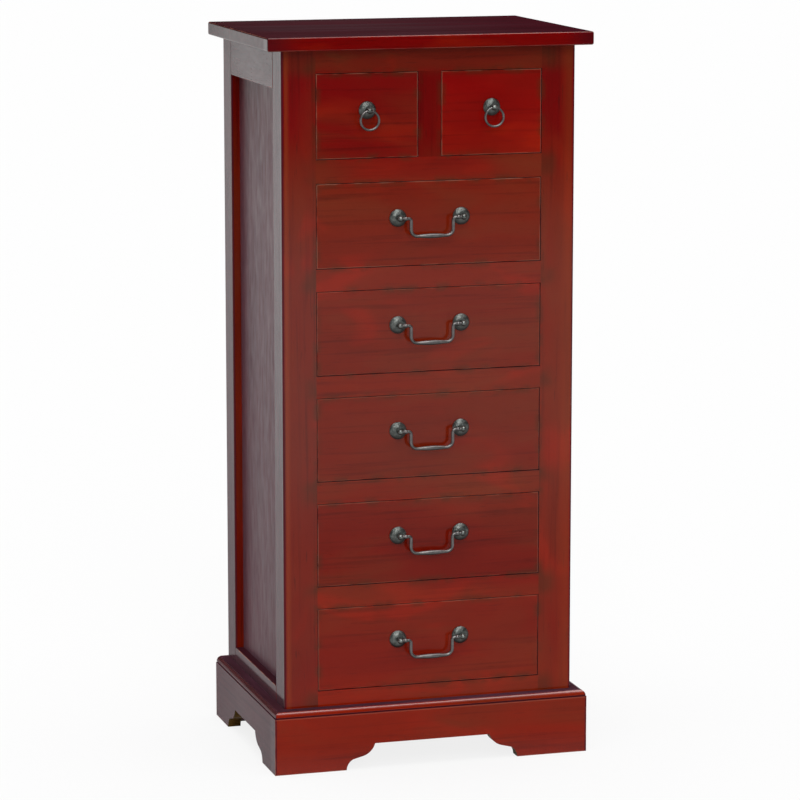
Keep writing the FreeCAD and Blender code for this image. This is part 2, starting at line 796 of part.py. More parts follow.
def pull_post(name, bore_radius, bore_from):
    """A domed rosette with a neck and a ball, bored for the pull. Its seat is at zero, facing the front."""
    body = doc.addObject("PartDesign::Body", f"{name}_turning")
    profile = sketch_on(body, "XY_Plane", f"{name}_profile")
    waist = "(post_reach - sqrt(pow(ball_radius; 2) - pow(neck_radius; 2)))"
    corners = [
        ("0", "-post_reach - ball_radius"),
        ("neck_radius", f"-{waist}"),
        ("neck_radius", "-dome_height"),
        ("rosette_radius", "-rosette_rim"),
        ("rosette_radius", "0"),
        ("0", "0"),
    ]
    draw(profile, corners, {0: ("ball_radius", True), 2: ("dome_radius", True)})
    revolve(body, profile, "V_Axis")
    bore_length = f"ball_radius + overrun - ({bore_from})"
    bore = rod(f"{name}_bore", bore_radius, bore_length, (bore_from, "-post_reach", "0"), ALONG_X)
    socket = rod(f"{name}_socket", SCREW_HOLE, "screw_bite + screw_play", ("0", "0", "0"), TOWARDS_FRONT)
    return cut(f"{name}_bored", body, [bore, socket])


def pull_screw():
    """The screw that goes through a drawer front from inside into a pull's post."""
    one = screw("pull_screw_upright", "front_thickness + screw_bite")
    made = group("pull_screw", [one])
    return place(made, ("0", "front_thickness", "0"), TOWARDS_FRONT)


def bail():
    """A swan-neck bail: a swelling grip, then a neck, a collar and a pivot each way. Mid-grip is zero."""
    body = doc.addObject("PartDesign::Body", "bail_bar")
    path = sketch_on(body, "XZ_Plane", "bail_path")
    neck = "(pull_spacing / 2 - bail_shoulder)"
    corners = [
        ("0", "0"),
        (f"{neck} - bail_bend", "0"),
        (neck, "bail_bend"),
        (neck, "bail_drop - bail_elbow"),
        (f"{neck} + bail_elbow", "bail_drop"),
        ("pull_spacing / 2", "bail_drop"),
    ]
    draw(path, corners, {1: ("bail_bend", True), 3: ("bail_elbow", False)}, closed=False)
    section = sketch_on(body, "YZ_Plane", "bail_section")
    section.addGeometry(Part.Circle(FreeCAD.Vector(), FreeCAD.Vector(0, 0, 1), value("bail_wire_radius")))
    section.addConstraint(Sketcher.Constraint("Coincident", 0, 3, -1, 1))
    hold(section, "Radius", 0, size="bail_wire_radius")
    doc.recompute()
    wire = body.newObject("PartDesign::AdditivePipe", "bail_wire")
    wire.Profile = section
    wire.Spine = (path, [f"Edge{number}" for number in range(1, len(corners))])
    doc.recompute()
    half = f"({neck} - bail_bend)"
    end = "(grip_end_share * bail_wire_radius)"
    rise = f"(grip_radius - {end})"
    swell = sketch_on(body, "XZ_Plane", "bail_swell")
    outline = [("0", "0"), (half, "0"), (half, end), ("0", "grip_radius")]
    draw(swell, outline, {2: (f"(pow({half}; 2) + pow({rise}; 2)) / (2 * {rise})", True)})
    grip = revolve(body, swell, "H_Axis")
    doc.recompute()
    twin = body.newObject("PartDesign::Mirrored", "bail_twin")
    twin.Originals = [wire, grip]
    twin.MirrorPlane = (body_plane(body, "YZ_Plane"), [""])
    body.Tip = twin
    collar = doc.addObject("Part::Sphere", "bail_collar")
    collar.setExpression("Radius", sized("collar_radius"))
    beside_ball = "pull_spacing / 2 - ball_radius - collar_play - collar_radius"
    place(collar, (beside_ball, "0", "bail_drop"), ALONG_X)
    return fused("bail", [body, collar, mirrored("bail_collar_twin", collar)])


def ring():
    """A ring that hangs in an eye, with its origin at the eye."""
    made = doc.addObject("Part::Torus", "ring")
    made.setExpression("Radius1", sized("ring_radius"))
    made.setExpression("Radius2", sized("ring_wire_radius"))
    return place(made, ("0", "0", "-ring_radius"), TOWARDS_FRONT)


def make_drawer(name, x, floor, posts, post_node):
    """A whole drawer but for its swinging pull. posts are (post, screw, x, z) of what holds the pull."""
    middle = f"({x[0]} + {x[1]}) / 2"
    bottom = drawer_bottom(name, x, floor)
    back = drawer_back(name, x, floor)
    side_blank = drawer_side_blank(name, x, floor)
    left = cut(f"{name}_left_side", side_blank, [bottom, back])
    right = mirrored(f"{name}_right_side", left, middle)
    box = group(f"{name}_box", [left, right, back])
    lets = [side_blank, mirrored(f"{name}_right_tails", side_blank, middle), bottom]
    fittings = []
    for number, (post, pull_fixing, along, up) in enumerate(posts, start=1):
        at = {"x": along, "y": FRONT, "z": up}
        mouth = (along, FRONT_INSIDE, up)
        lets.append(rod(f"{name}_hole_{number}", SCREW_HOLE, "front_thickness", mouth, TOWARDS_FRONT))
        fittings.append(shifted(f"{name}_post_{number}", post, **at))
        fittings.append(shifted(f"{name}_screw_{number}", pull_fixing, **at))
    front = cut(f"{name}_front", drawer_front_blank(name, x, floor), lets)
    return [front, box, bottom, group(f"{name}_{post_node}", fittings)]


def make_wide_drawers(fixing):
    """The five wide drawers with their bails: the top one, then the same again further down."""
    left_post = pull_post("bail_post_left", "bail_wire_radius + pivot_play", "-pivot_end_play")
    right_post = mirrored("bail_post_right", left_post)
    axis = f"({TOP_WIDE_FLOOR} + opening_height / 2 + pull_rise)"
    posts = [
        (left_post, fixing, "-pull_spacing / 2", axis),
        (right_post, fixing, "pull_spacing / 2", axis),
    ]
    nodes = make_drawer("drawer_1", (OPENING_LEFT, OPENING_RIGHT), TOP_WIDE_FLOOR, posts, "pull_posts")
    nodes.append(shifted("drawer_1_bail", bail(), "0", f"{FRONT} - post_reach", f"{axis} - bail_drop"))
    made = list(nodes)
    for row in range(1, WIDE_ROWS):
        for node in nodes:
            name = node.Name.replace("drawer_1", f"drawer_{row + 1}")
            made.append(shifted(name, node, z=f"-{row} * {ROW_PITCH}"))
    return made


def make_small_drawers(fixing):
    """The two small drawers with their rings: the left one, then the same again on the right."""
    sag = "pow(ball_radius; 2) / (2 * ring_radius)"
    eye_radius = f"ring_wire_radius + {sag} + ring_play"
    post = pull_post("ring_post", eye_radius, "-ball_radius - overrun")
    eye = f"({SMALL_FLOOR} + opening_height / 2 + ring_rise)"
    name = "small_drawer_left"
    posts = [(post, fixing, SMALL_CENTRE, eye)]
    nodes = make_drawer(name, (OPENING_LEFT, MUNTIN_LEFT), SMALL_FLOOR, posts, "pull_post")
    nodes.append(shifted(f"{name}_ring", ring(), SMALL_CENTRE, f"{FRONT} - post_reach", eye))
    twins = [shifted(node.Name.replace("left", "right"), node, x=f"-2 * {SMALL_CENTRE}") for node in nodes]
    return nodes + twins


def write(nodes):
    """Checks the whole document, then writes each node to its file."""
    doc.recompute()
    for made in doc.Objects:
        if {"Invalid", "Error"} & set(made.State):
            raise RuntimeError(f"{made.Label} failed")
    for node in nodes:
        if node.Shape.isNull() or not node.Shape.isValid() or not node.Shape.Solids:
            raise RuntimeError(f"{node.Label} is not a sound solid")
    os.makedirs("parts", exist_ok=True)
    for node in nodes:
        node.Shape.exportStep(f"parts/{node.Label}.step")
    print(len(nodes), "nodes,", sum(len(node.Shape.Solids) for node in nodes), "solids")


pull_fixing = pull_screw()
write(make_carcass() + make_wide_drawers(pull_fixing) + make_small_drawers(pull_fixing))
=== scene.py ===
"""A tall chest of seven drawers in red mahogany stain: the finish of its pieces, and its stage."""
import json
import math
from typing import NamedTuple

import bmesh
import bpy
from bpy.props import FloatProperty, FloatVectorProperty, PointerProperty
from mathutils import Matrix, Vector


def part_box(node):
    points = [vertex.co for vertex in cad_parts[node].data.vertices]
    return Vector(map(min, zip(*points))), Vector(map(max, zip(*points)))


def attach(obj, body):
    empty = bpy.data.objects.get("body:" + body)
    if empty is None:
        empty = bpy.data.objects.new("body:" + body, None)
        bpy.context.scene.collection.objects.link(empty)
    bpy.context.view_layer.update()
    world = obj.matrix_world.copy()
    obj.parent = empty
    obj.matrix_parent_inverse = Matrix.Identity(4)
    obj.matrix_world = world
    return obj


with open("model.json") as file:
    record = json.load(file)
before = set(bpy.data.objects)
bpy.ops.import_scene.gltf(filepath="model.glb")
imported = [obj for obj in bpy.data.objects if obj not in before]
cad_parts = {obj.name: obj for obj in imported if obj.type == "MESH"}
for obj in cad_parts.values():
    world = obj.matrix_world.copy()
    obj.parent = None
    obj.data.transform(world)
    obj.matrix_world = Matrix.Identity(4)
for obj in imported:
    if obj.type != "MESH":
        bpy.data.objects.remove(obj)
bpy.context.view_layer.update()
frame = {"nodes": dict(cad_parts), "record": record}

bl_info = {
    "name": "Semainier finish",
    "version": (1, 0, 0),
    "blender": (4, 5, 0),
    "location": "3D View > Sidebar > Semainier",
    "description": "Stains, polishes and weathers the pieces of a semainier, and lights it on a pale floor",
    "category": "Object",
}

WIDE_DRAWERS = [f"drawer_{number}" for number in range(1, 6)]
SMALL_DRAWERS = ["small_drawer_left", "small_drawer_right"]
DRAWERS = WIDE_DRAWERS + SMALL_DRAWERS
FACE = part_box("front_top_rail")[0].y
CARCASS_BOX = (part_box("front_left_post")[0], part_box("back_right_post")[1])
PLINTH_BOX = (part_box("plinth_left")[0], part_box("plinth_right")[1])
RAIL_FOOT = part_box("front_top_rail")[0].z
TOP_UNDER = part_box("top_board")[0].z
OPENINGS = {opening["name"]: opening["box_m"] for opening in frame["record"]["physics"]["openings"]}
ARCH_TOP = OPENINGS["front_arch"][1][2]
AXES = {"x": Vector((1, 0, 0)), "y": Vector((0, 1, 0)), "z": Vector((0, 0, 1))}


def colour_property(name, description, default):
    """A colour that a user can change, in linear red, green and blue."""
    return FloatVectorProperty(
        name=name, description=description, default=default, subtype="COLOR", size=3, min=0, max=1
    )


def share_property(name, description, default):
    """A share from nothing to all."""
    return FloatProperty(name=name, description=description, default=default, subtype="FACTOR", min=0, max=1)


def angle_property(name, description, degrees):
    """An angle, given in degrees."""
    return FloatProperty(name=name, description=description, default=math.radians(degrees), subtype="ANGLE")


def length_property(name, description, default):
    """A length in metres."""
    return FloatProperty(name=name, description=description, default=default, unit="LENGTH", precision=4)


class StainSettings(bpy.types.PropertyGroup):
    """The red stain and its lacquer."""

    crimson: colour_property("Crimson", "Stain beside the small drawers", (0.172, 0.0010, 0.0008))
    brick: colour_property("Brick", "Stain half way up, where it is browner", (0.152, 0.0100, 0.0018))
    garnet: colour_property("Garnet", "Stain on the lower drawers", (0.158, 0.0062, 0.0014))
    russet: colour_property("Russet", "Stain on the plinth", (0.212, 0.0095, 0.0008))
    umber: colour_property("Umber", "Brown clouds in the stain", (0.110, 0.0170, 0.0050))
    flame: colour_property("Flame", "Bright clouds in the stain", (0.240, 0.0090, 0.0015))
    # Wine and Mauve: darker and cooler than the front, a painted shade on faces turned to the side, with a
    # mauve cast of painted reflection
    side_shade_wine: colour_property("Wine", "Stain on the sides", (0.066, 0.0115, 0.0122))
    panel_shade_mauve: colour_property("Mauve", "Stain on the side panels", (0.082, 0.0148, 0.0162))
    # Plum: darker than the front, a painted shade on the top and on ledges
    level_shade_plum: colour_property("Plum", "Stain on the top and on ledges", (0.036, 0.0024, 0.0062))
    # Ledge: a mauve painted reflection on the plinth's moulded ledge
    ledge_reflection_mauve: colour_property("Ledge", "Stain on the moulded edge of the plinth", (0.062, 0.0200, 0.0330))
    # Dusk: pale streaks of painted reflection on the top and on ledges
    reflected_dusk: colour_property("Dusk", "Paler streaks along the top", (0.037, 0.0092, 0.0136))
    # Burnt: dark line of painted shade on upright corners and in the plinth's groove
    painted_shade: colour_property("Burnt", "Dark line of stain on upright corners", (0.056, 0.0045, 0.0120))
    amber: colour_property("Amber", "Thin stain beside the dark line", (0.215, 0.0300, 0.0060))
    knot: colour_property("Knot", "Pin knots in the wood", (0.030, 0.0060, 0.0040))
    # Worn: pale lines along edges, partly real wear and partly painted highlight; on the plinth's arris a
    # painted highlight
    worn_and_lit: colour_property("Worn", "Wood that shows through along rubbed edges", (0.30, 0.11, 0.070))
    smoke: colour_property("Smoke", "Dark glaze round the drawers", (0.046, 0.0150, 0.0045))
    sawn: colour_property("Sawn", "Unstained sawn edges under the plinth", (0.085, 0.062, 0.014))
    gloss_foot: share_property("Gloss at the foot", "Weight of the lacquer low on the front", 0.24)
    gloss_middle: share_property("Gloss half way", "Weight of the lacquer half way up the front", 0.42)
    gloss_crown: share_property("Gloss at the top", "Weight of the lacquer round the small drawers", 0.06)
    side_gloss: share_property("Side gloss", "Weight of the lacquer on the sides", 0.68)
    panel_gloss: share_property("Panel gloss", "Weight of the lacquer on the side panels", 0.56)
    top_gloss: share_property("Top gloss", "Weight of the lacquer on the top and on ledges", 0.05)
    edge_gloss: share_property("Edge gloss", "Weight of the lacquer on rounded edges, where it gathers", 0.52)
    roughness: share_property("Roughness", "Roughness of the lacquer", 0.09)
    sheen: share_property("Sheen", "Weight of the haze on the lacquer, seen along the surface", 0.07)
    panel_sheen: share_property("Panel sheen", "Weight of the haze on the side panels", 0.12)
    haze: colour_property("Haze", "Colour of the haze", (0.72, 0.70, 1.0))
    panel_roughness: share_property("Panel roughness", "Roughness of the thin lacquer on the panels", 0.34)
    wear_width: length_property("Wear width", "How far the wear reaches in from an edge", 0.0016)
    corner_shade_width: length_property("Burn width", "Width of the dark line on upright corners", 0.0034)
    smoke_width: length_property("Smoke width", "How far the dark glaze reaches from a corner", 0.011)
    stain_reach: length_property("Stain reach", "How far the stain goes in from the outside", 0.016)
    # Quirk: the groove gets painted shade, and the edge under it a painted highlight
    quirk: length_property("Quirk", "Height of the groove in the plinth, which stain fills", 0.0874)


class BareWoodSettings(bpy.types.PropertyGroup):
    """The woods that are left bare inside and behind."""

    hardwood: colour_property("Hardwood", "Runners, kickers, stops and back rails", (0.33, 0.185, 0.090))
    drawer_wood: colour_property("Drawer wood", "Sides and backs of the drawers", (0.40, 0.235, 0.120))
    plywood: colour_property("Plywood", "Back panel and drawer bottoms", (0.37, 0.215, 0.110))
    roughness: share_property("Roughness", "Roughness of planed wood", 0.62)


class MetalSettings(bpy.types.PropertyGroup):
    """The pulls and the screws."""

    pewter: colour_property("Pewter", "Dark patina of the pulls", (0.070, 0.077, 0.072))
    # Patina: black laid on faces turned down, a painted shade
    patina: colour_property("Patina", "Black patina, where no hand rubs", (0.018, 0.014, 0.0135))
    rubbed_and_lit: colour_property("Rubbed", "Metal of the rosettes, where rubbed", (0.345, 0.365, 0.345))
    handled: colour_property("Handled", "Metal of the bails and rings, warm from hands", (0.345, 0.30, 0.305))
    zinc: colour_property("Zinc", "Plating of the screws", (0.52, 0.52, 0.49))
    roughness: share_property("Roughness", "Roughness of the patina", 0.28)
    cast_depth: length_property("Cast depth", "Depth of the uneven surface left by casting", 0.00005)
    hammer_depth: length_property("Hammer depth", "Depth of the hammered dimples on the rosettes", 0.00070)


class PinSettings(bpy.types.PropertyGroup):
    """The pins that hold the back panel."""

    spacing: length_property("Spacing", "Between two pins, about", 0.10)
    inset: length_property("Inset", "From the edge of the panel to the pins", 0.010)
    radius: length_property("Radius", "Of the head of a pin", 0.0024)
    proud: length_property("Proud", "How far a head stands out of the panel", 0.0006)


class StageSettings(bpy.types.PropertyGroup):
    """The floor, the light and the camera."""

    floor: colour_property("Floor", "Colour of the floor", (0.58, 0.58, 0.58))
    floor_size: length_property("Floor size", "Half the width of the floor", 90.0)
    floor_glow: share_property("Floor glow", "How white the floor looks, also in reflections", 0.84)
    horizon: FloatProperty(name="Horizon", description="Light of the low band round the room", default=1.00)
    gloom: FloatProperty(name="Gloom", description="Light of the room above the low band", default=0.05)
    dome: FloatProperty(name="Dome", description="Light of the upper dome", default=0.90)
    zenith: FloatProperty(name="Zenith", description="Light of the soft box straight overhead", default=5.00)
    sun: FloatProperty(name="Sun", description="Strength of the soft front light", default=1.43)
    sun_spread: angle_property("Sun spread", "Angle across the front light", 36)
    sun_height: angle_property("Sun height", "Angle of the front light above the floor", 35)
    sun_turn: angle_property("Sun turn", "Angle of the front light to the right", -10)
    camera_turn: angle_property("Camera turn", "Angle of the camera to the right", -16.609)
    camera_height: angle_property("Camera height", "Angle of the camera above the target", 9.977)
    camera_distance: length_property("Camera distance", "From the camera to the target", 5.5170)
    camera_target: FloatVectorProperty(
        name="Camera target", description="What the middle of the picture shows", default=(0.0036, 0, 0.5271),
        subtype="XYZ", unit="LENGTH",
    )
    lens: FloatProperty(name="Lens", description="Focal length in mm", default=161.467, unit="CAMERA")


class Value:
    """A socket that sums can be written with. Each sum adds a Math node."""

    def __init__(self, finish, socket):
        self.finish = finish
        self.socket = socket

    def __add__(self, other):
        return self.finish.math("ADD", self, other)

    def __sub__(self, other):
        return self.finish.math("SUBTRACT", self, other)

    def __rsub__(self, other):
        return self.finish.math("SUBTRACT", other, self)

    def __mul__(self, other):
        return self.finish.math("MULTIPLY", self, other)

    def __abs__(self):
        return self.finish.math("ABSOLUTE", self)

    __radd__ = __add__
    __rmul__ = __mul__


class Finish:
    """The nodes of one material or of the world, with one way to add any node."""

    def __init__(self, owner):
        owner.use_nodes = True
        self.owner = owner
        self.tree = owner.node_tree
        self.tree.nodes.clear()

    def add(self, kind, settings=None, sockets=None, output=0):
        """Adds a node of any kind, sets it up, and gives back one output, or all if output is None."""
        node = self.tree.nodes.new(kind)
        for key, setting in (settings or {}).items():
            setattr(node, key, setting)
        for key, given in (sockets or {}).items():
            if isinstance(given, Value):
                self.tree.links.new(given.socket, node.inputs[key])
            else:
                node.inputs[key].default_value = given
        if output is None:
            return [Value(self, socket) for socket in node.outputs]
        return Value(self, node.outputs[output]) if node.outputs else None

    def math(self, operation, *terms):
        return self.add("ShaderNodeMath", {"operation": operation}, dict(enumerate(terms)))

    def vector(self, operation, first, second):
        return self.add("ShaderNodeVectorMath", {"operation": operation}, {0: first, 1: second})

    def smooth(self, given, low, high):
        """Nothing at low, one at high, and an easy slope between."""
        settings = {"interpolation_type": "SMOOTHSTEP"}
        return self.add("ShaderNodeMapRange", settings, {"Value": given, "From Min": low, "From Max": high})

    def mix(self, share, first, second, blend="MIX"):
        """A colour between two colours."""
        settings = {"data_type": "RGBA", "blend_type": blend}
        return self.add("ShaderNodeMix", settings, {0: share, 6: rgba(first), 7: rgba(second)}, output=2)

    def squeezed(self, place, pattern, grain):
        """Coordinates squeezed along the grain, so that a pattern is drawn out that way."""
        return self.vector("MULTIPLY", place, Vector((1, 1, 1)) + (pattern.squeeze - 1) * AXES[grain])

    def noise(self, place, pattern, grain="x"):
        sockets = {
            "Vector": self.squeezed(place, pattern, grain),
            "Scale": pattern.scale,
            "Detail": pattern.detail,
            "Distortion": pattern.distortion,
        }
        return self.add("ShaderNodeTexNoise", None, sockets)

    def shown(self, noise, pattern):
        """Where the noise of a pattern shows, as a share."""
        return self.smooth(noise, *pattern.shows) * pattern.share

    def parts(self, vector):
        """The three parts of a vector, as values."""
        return self.add("ShaderNodeSeparateXYZ", None, {0: vector}, output=None)

    def place(self):
        return self.add("ShaderNodeTexCoord", output="Object")

    def facing(self):
        return self.add("ShaderNodeTexCoord", output="Normal")

    def bump(self, height, distance):
        return self.add("ShaderNodeBump", None, {"Height": height, "Distance": distance, "Strength": 1.0})

    def surface(self, **sockets):
        """Ends the material in one shader. Names use _ for the spaces in its sockets' names."""
        named = {key.replace("_", " "): given for key, given in sockets.items()}
        shader = self.add("ShaderNodeBsdfPrincipled", None, named)
        self.add("ShaderNodeOutputMaterial", None, {"Surface": shader})
        return self.owner


def rgba(colour):
    """A colour with its fourth number, or the link that stands for one."""
    return colour if isinstance(colour, Value) else (*colour, 1.0)


def new_finish(name):
    return Finish(bpy.data.materials.new(name))


class Pattern(NamedTuple):
    """How a noise is drawn and squeezed along the grain, and from what value and how strongly it shows."""

    scale: float
    detail: float = 2.0
    distortion: float = 0.0
    squeeze: float = 1.0
    shows: tuple = (0.0, 1.0)
    share: float = 1.0


# The middle of the values of a noise
NOISE_MIDDLE = 0.5

# Bare wood: its patterns, rings and tones, the depth of its grain in metres, and its refraction
BARE_STREAKS = Pattern(240, 4, squeeze=0.03, shows=(0.45, 0.75), share=0.30)
BARE_PORES = Pattern(1300, squeeze=0.05, shows=(0.60, 0.72))
BARE_CLOUDS = Pattern(12, 3, 0.6, squeeze=0.3, shows=(0.3, 0.7))
BARE_FIGURE = Pattern(9, 1, 0.4, squeeze=0.10)
BARE_RINGS = 26
BARE_RING_WIDTH = 0.55
BARE_RING_SHARE = 0.42
BARE_PORE_SHARE = 0.4
BARE_LIGHT = 1.25
BARE_DARK = 0.55
BARE_RELIEF = 0.00015
BARE_REFRACTION = 1.4


def bare_grain(finish, place, grain, colour):
    """The colour of bare wood, and its grain as a height."""
    streaks = finish.noise(place, BARE_STREAKS, grain)
    pits = finish.shown(finish.noise(place, BARE_PORES, grain), BARE_PORES)
    clouds = finish.shown(finish.noise(place, BARE_CLOUDS, grain), BARE_CLOUDS)
    rings = abs(finish.math("SINE", finish.noise(place, BARE_FIGURE, grain) * BARE_RINGS))
    dark = tuple(BARE_DARK * part for part in colour)
    light = tuple(min(1.0, BARE_LIGHT * part) for part in colour)
    tone = finish.mix(clouds, colour, light)
    tone = finish.mix((1 - finish.smooth(rings, 0.0, BARE_RING_WIDTH)) * BARE_RING_SHARE, tone, dark)
    tone = finish.mix(finish.shown(streaks, BARE_STREAKS), tone, dark)
    return finish.mix(pits * BARE_PORE_SHARE, tone, dark), streaks * 0.5 - pits


def bare_wood(name, grain, colour):
    """Planed wood with no finish."""
    settings = bpy.context.scene.semainier_bare_wood
    finish = new_finish(name)
    tone, height = bare_grain(finish, finish.place(), grain, colour)
    return finish.surface(
        Base_Color=tone,
        Roughness=settings.roughness + height * 0.1,
        IOR=BARE_REFRACTION,
        Normal=finish.bump(height, BARE_RELIEF),
    )


def depths(finish, place, low, high):
    """How deep a point lies in a box, along each axis."""
    above = finish.vector("SUBTRACT", place, low)
    below = finish.vector("SUBTRACT", high, place)
    return finish.parts(finish.vector("MINIMUM", above, below))


def edge_distance(finish, place, low, high):
    """How far a point on a board is from the board's nearest edge: the middle one of three depths."""
    x, y, z = depths(finish, place, low, high)
    lesser = finish.math("MINIMUM", x, y)
    greater = finish.math("MAXIMUM", x, y)
    return finish.math("MAXIMUM", lesser, finish.math("MINIMUM", greater, z))


def buried(finish, place, low, high, depth):
    """One where a point lies further in than a depth from the sides of a box, nothing nearer the outside."""
    x, y = depths(finish, place, low, high)[:2]
    return finish.smooth(finish.math("MINIMUM", x, y), 0.85 * depth, 1.15 * depth)


# Down the front: heights in metres between which one stain or gloss gives way to the next
RUSSET_TO_GARNET = (0.09, 0.17)
GARNET_TO_BRICK = (0.32, 0.52)
BRICK_TO_CRIMSON = (0.84, 0.97)
UNDER_TOP = (RAIL_FOOT - 0.012, RAIL_FOOT + 0.012)
GLOSS_RISES = (0.30, 0.50)
GLOSS_FALLS = (0.71, 0.96)
FLOOR_HAZE_FADES = (0.0, 0.045)

# Down the front: the share of brown under the top, and the extra gloss by the floor
UNDER_TOP_BROWN = 0.5
FLOOR_HAZE = 0.22


def red_stain(finish, height, settings):
    """The stain down the front: crimson high up, brick half way, garnet below, and browner under the top."""
    tone = finish.mix(finish.smooth(height, *RUSSET_TO_GARNET), settings.russet, settings.garnet)
    tone = finish.mix(finish.smooth(height, *GARNET_TO_BRICK), tone, settings.brick)
    tone = finish.mix(finish.smooth(height, *BRICK_TO_CRIMSON), tone, settings.crimson)
    under_top = finish.smooth(height, *UNDER_TOP) * finish.math("LESS_THAN", height, TOP_UNDER)
    return finish.mix(under_top * UNDER_TOP_BROWN, tone, settings.umber)


def front_gloss(finish, height, settings):
    """The weight of the lacquer down the front, thickest half way up."""
    rise = finish.smooth(height, *GLOSS_RISES) * (settings.gloss_middle - settings.gloss_foot)
    fall = finish.smooth(height, *GLOSS_FALLS) * (settings.gloss_middle - settings.gloss_crown)
    haze = FLOOR_HAZE - finish.smooth(height, *FLOOR_HAZE_FADES) * FLOOR_HAZE
    return settings.gloss_foot + rise - fall + haze


def past_row(finish, z):
    """How far a height is from the nearest row of drawers, and less than nothing within a row."""
    low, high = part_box(f"{WIDE_DRAWERS[-1]}_front")
    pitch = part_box(f"{WIDE_DRAWERS[-2]}_front")[0].z - low.z
    height = finish.math("WRAP", z - (low.z + high.z) / 2, -pitch / 2, pitch / 2)
    return abs(height) - (high.z - low.z) / 2


def rail_smudges(finish, x, z, reach):
    """One where a rail meets a post, fading along the rail and across the post."""
    beside = abs(x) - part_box(f"{WIDE_DRAWERS[0]}_front")[1].x
    return finish.smooth(past_row(finish, z), -reach, reach) * (1 - finish.smooth(beside, reach, 3 * reach))


def off_drawers(finish, x, z):
    """How far a point on the front is from the nearest drawer, and less than nothing on a drawer."""
    foot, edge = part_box(f"{WIDE_DRAWERS[-1]}_front")
    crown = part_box(f"{WIDE_DRAWERS[0]}_front")[1].z
    over = finish.math("MAXIMUM", z - crown, foot.z - z)
    over = finish.math("MAXIMUM", past_row(finish, z), over)
    wide = finish.math("MAXIMUM", abs(x) - edge.x, over)
    low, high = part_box(f"{SMALL_DRAWERS[1]}_front")
    middle = (low + high) / 2
    over = abs(z - middle.z) - (high.z - middle.z)
    small = finish.math("MAXIMUM", abs(abs(x) - middle.x) - (high.x - middle.x), over)
    return finish.math("MINIMUM", wide, small)


def grey(finish, shade):
    """A grey of that shade."""
    return finish.add("ShaderNodeCombineColor", None, {0: shade, 1: shade, 2: shade})


def blend(share, first, second):
    """A value between two values."""
    return first + (second - first) * share


# Stained wood: its patterns
BROAD_CLOUDS = Pattern(8, 2, 0.5, squeeze=0.35, shows=(0.46, 0.66), share=0.50)
PATCHES = Pattern(21, 3, 0.8, squeeze=0.22, shows=(0.50, 0.72), share=0.45)
FLAMES = Pattern(16, 2, 0.7, squeeze=0.4, shows=(0.54, 0.72), share=0.50)
STREAKS = Pattern(150, 4, 0.2, squeeze=0.03, shows=(0.50, 0.72), share=0.24)
PORES = Pattern(1200, squeeze=0.045, shows=(0.60, 0.74))
KNOTS = Pattern(12, squeeze=0.45, shows=(0.008, 0.030), share=0.7)
SCARS = Pattern(330, 1, squeeze=0.08, shows=(0.69, 0.78))
SCAR_SHARES = {"x": 0.2, "y": 0.2, "z": 0.4}
# Pale streaks of painted reflection on level faces
REFLECTION_LINES = Pattern(36, 3, squeeze=0.06, shows=(0.40, 0.66))
STRIPES = Pattern(75, 3, squeeze=0.06)
FLECKS = Pattern(105, squeeze=0.28)
# Spots that break up the pale edge lines of wear and painted highlight
RUB_AND_HIGHLIGHT_SPOTS = Pattern(26, 3, shows=(0.36, 0.56))
SMOKE_SPOTS = Pattern(30, 3, shows=(0.44, 0.62), share=0.52)
SMUDGE_SPOTS = Pattern(17, shows=(0.34, 0.58))

# Stained wood: parts of a normal between which a face comes to count as turned that way
TO_SIDE = (0.05, 0.35)
LEVEL = (0.85, 0.97)
FLAT = (0.94, 0.995)
UPPER_EDGE = (0.40, 0.65)
BOARD_FACE = (0.3, 0.5)

# Stained wood: heights, depths and distances in metres between which something comes or goes
FADE_HEIGHT = (0.75, 1.0)
SIDE_HEIGHT = (0.05, 0.88)
SIDE_DEPTH = (0, 0.2)
LIP = (0.004, 0.009)
DARK_END = (0.004, 0.055)
SAWN_END = (0.002, 0.004)

# Stained wood: the depth of its grain in metres, and how much of that is streaks
RELIEF = 0.00008
STREAK_RELIEF = 0.35

# Stained wood: how strongly each thing tells in the tone, the lacquer and the roughness
SHADE_LEAST = 0.53
SHADE_BROAD = 0.42
SHADE_PATCHES = 0.46
SHADE_PITS = 0.22
TOP_REFLECTION_LOST = 0.8
TOP_GLOSS_LEFT = 1.12
TOP_GLOSS_LOST = 0.75
END_SHARE = 0.6
SIDE_FOOT_GLOSS = 0.54
SIDE_BACK_LOST = 0.27
STRIPE_SHARE = 0.6
FLECK_SHARE = 1.3
LIP_GAIN = 0.3
COAT_LEAST = 0.96
COAT_STREAKS = 0.16
COAT_PITS = 0.40
CORNER_SHADE_SHARE = 0.8
CORNER_SHADE_DULLS = 0.7
ARRIS_SHARE = 0.35
GROOVE_SHARE = 0.8
SAWN_SHARE = 0.8
ROUGH_LEAST = 0.40
ROUGH_STREAKS = 0.20
HAZE_ROUGHNESS = 0.3


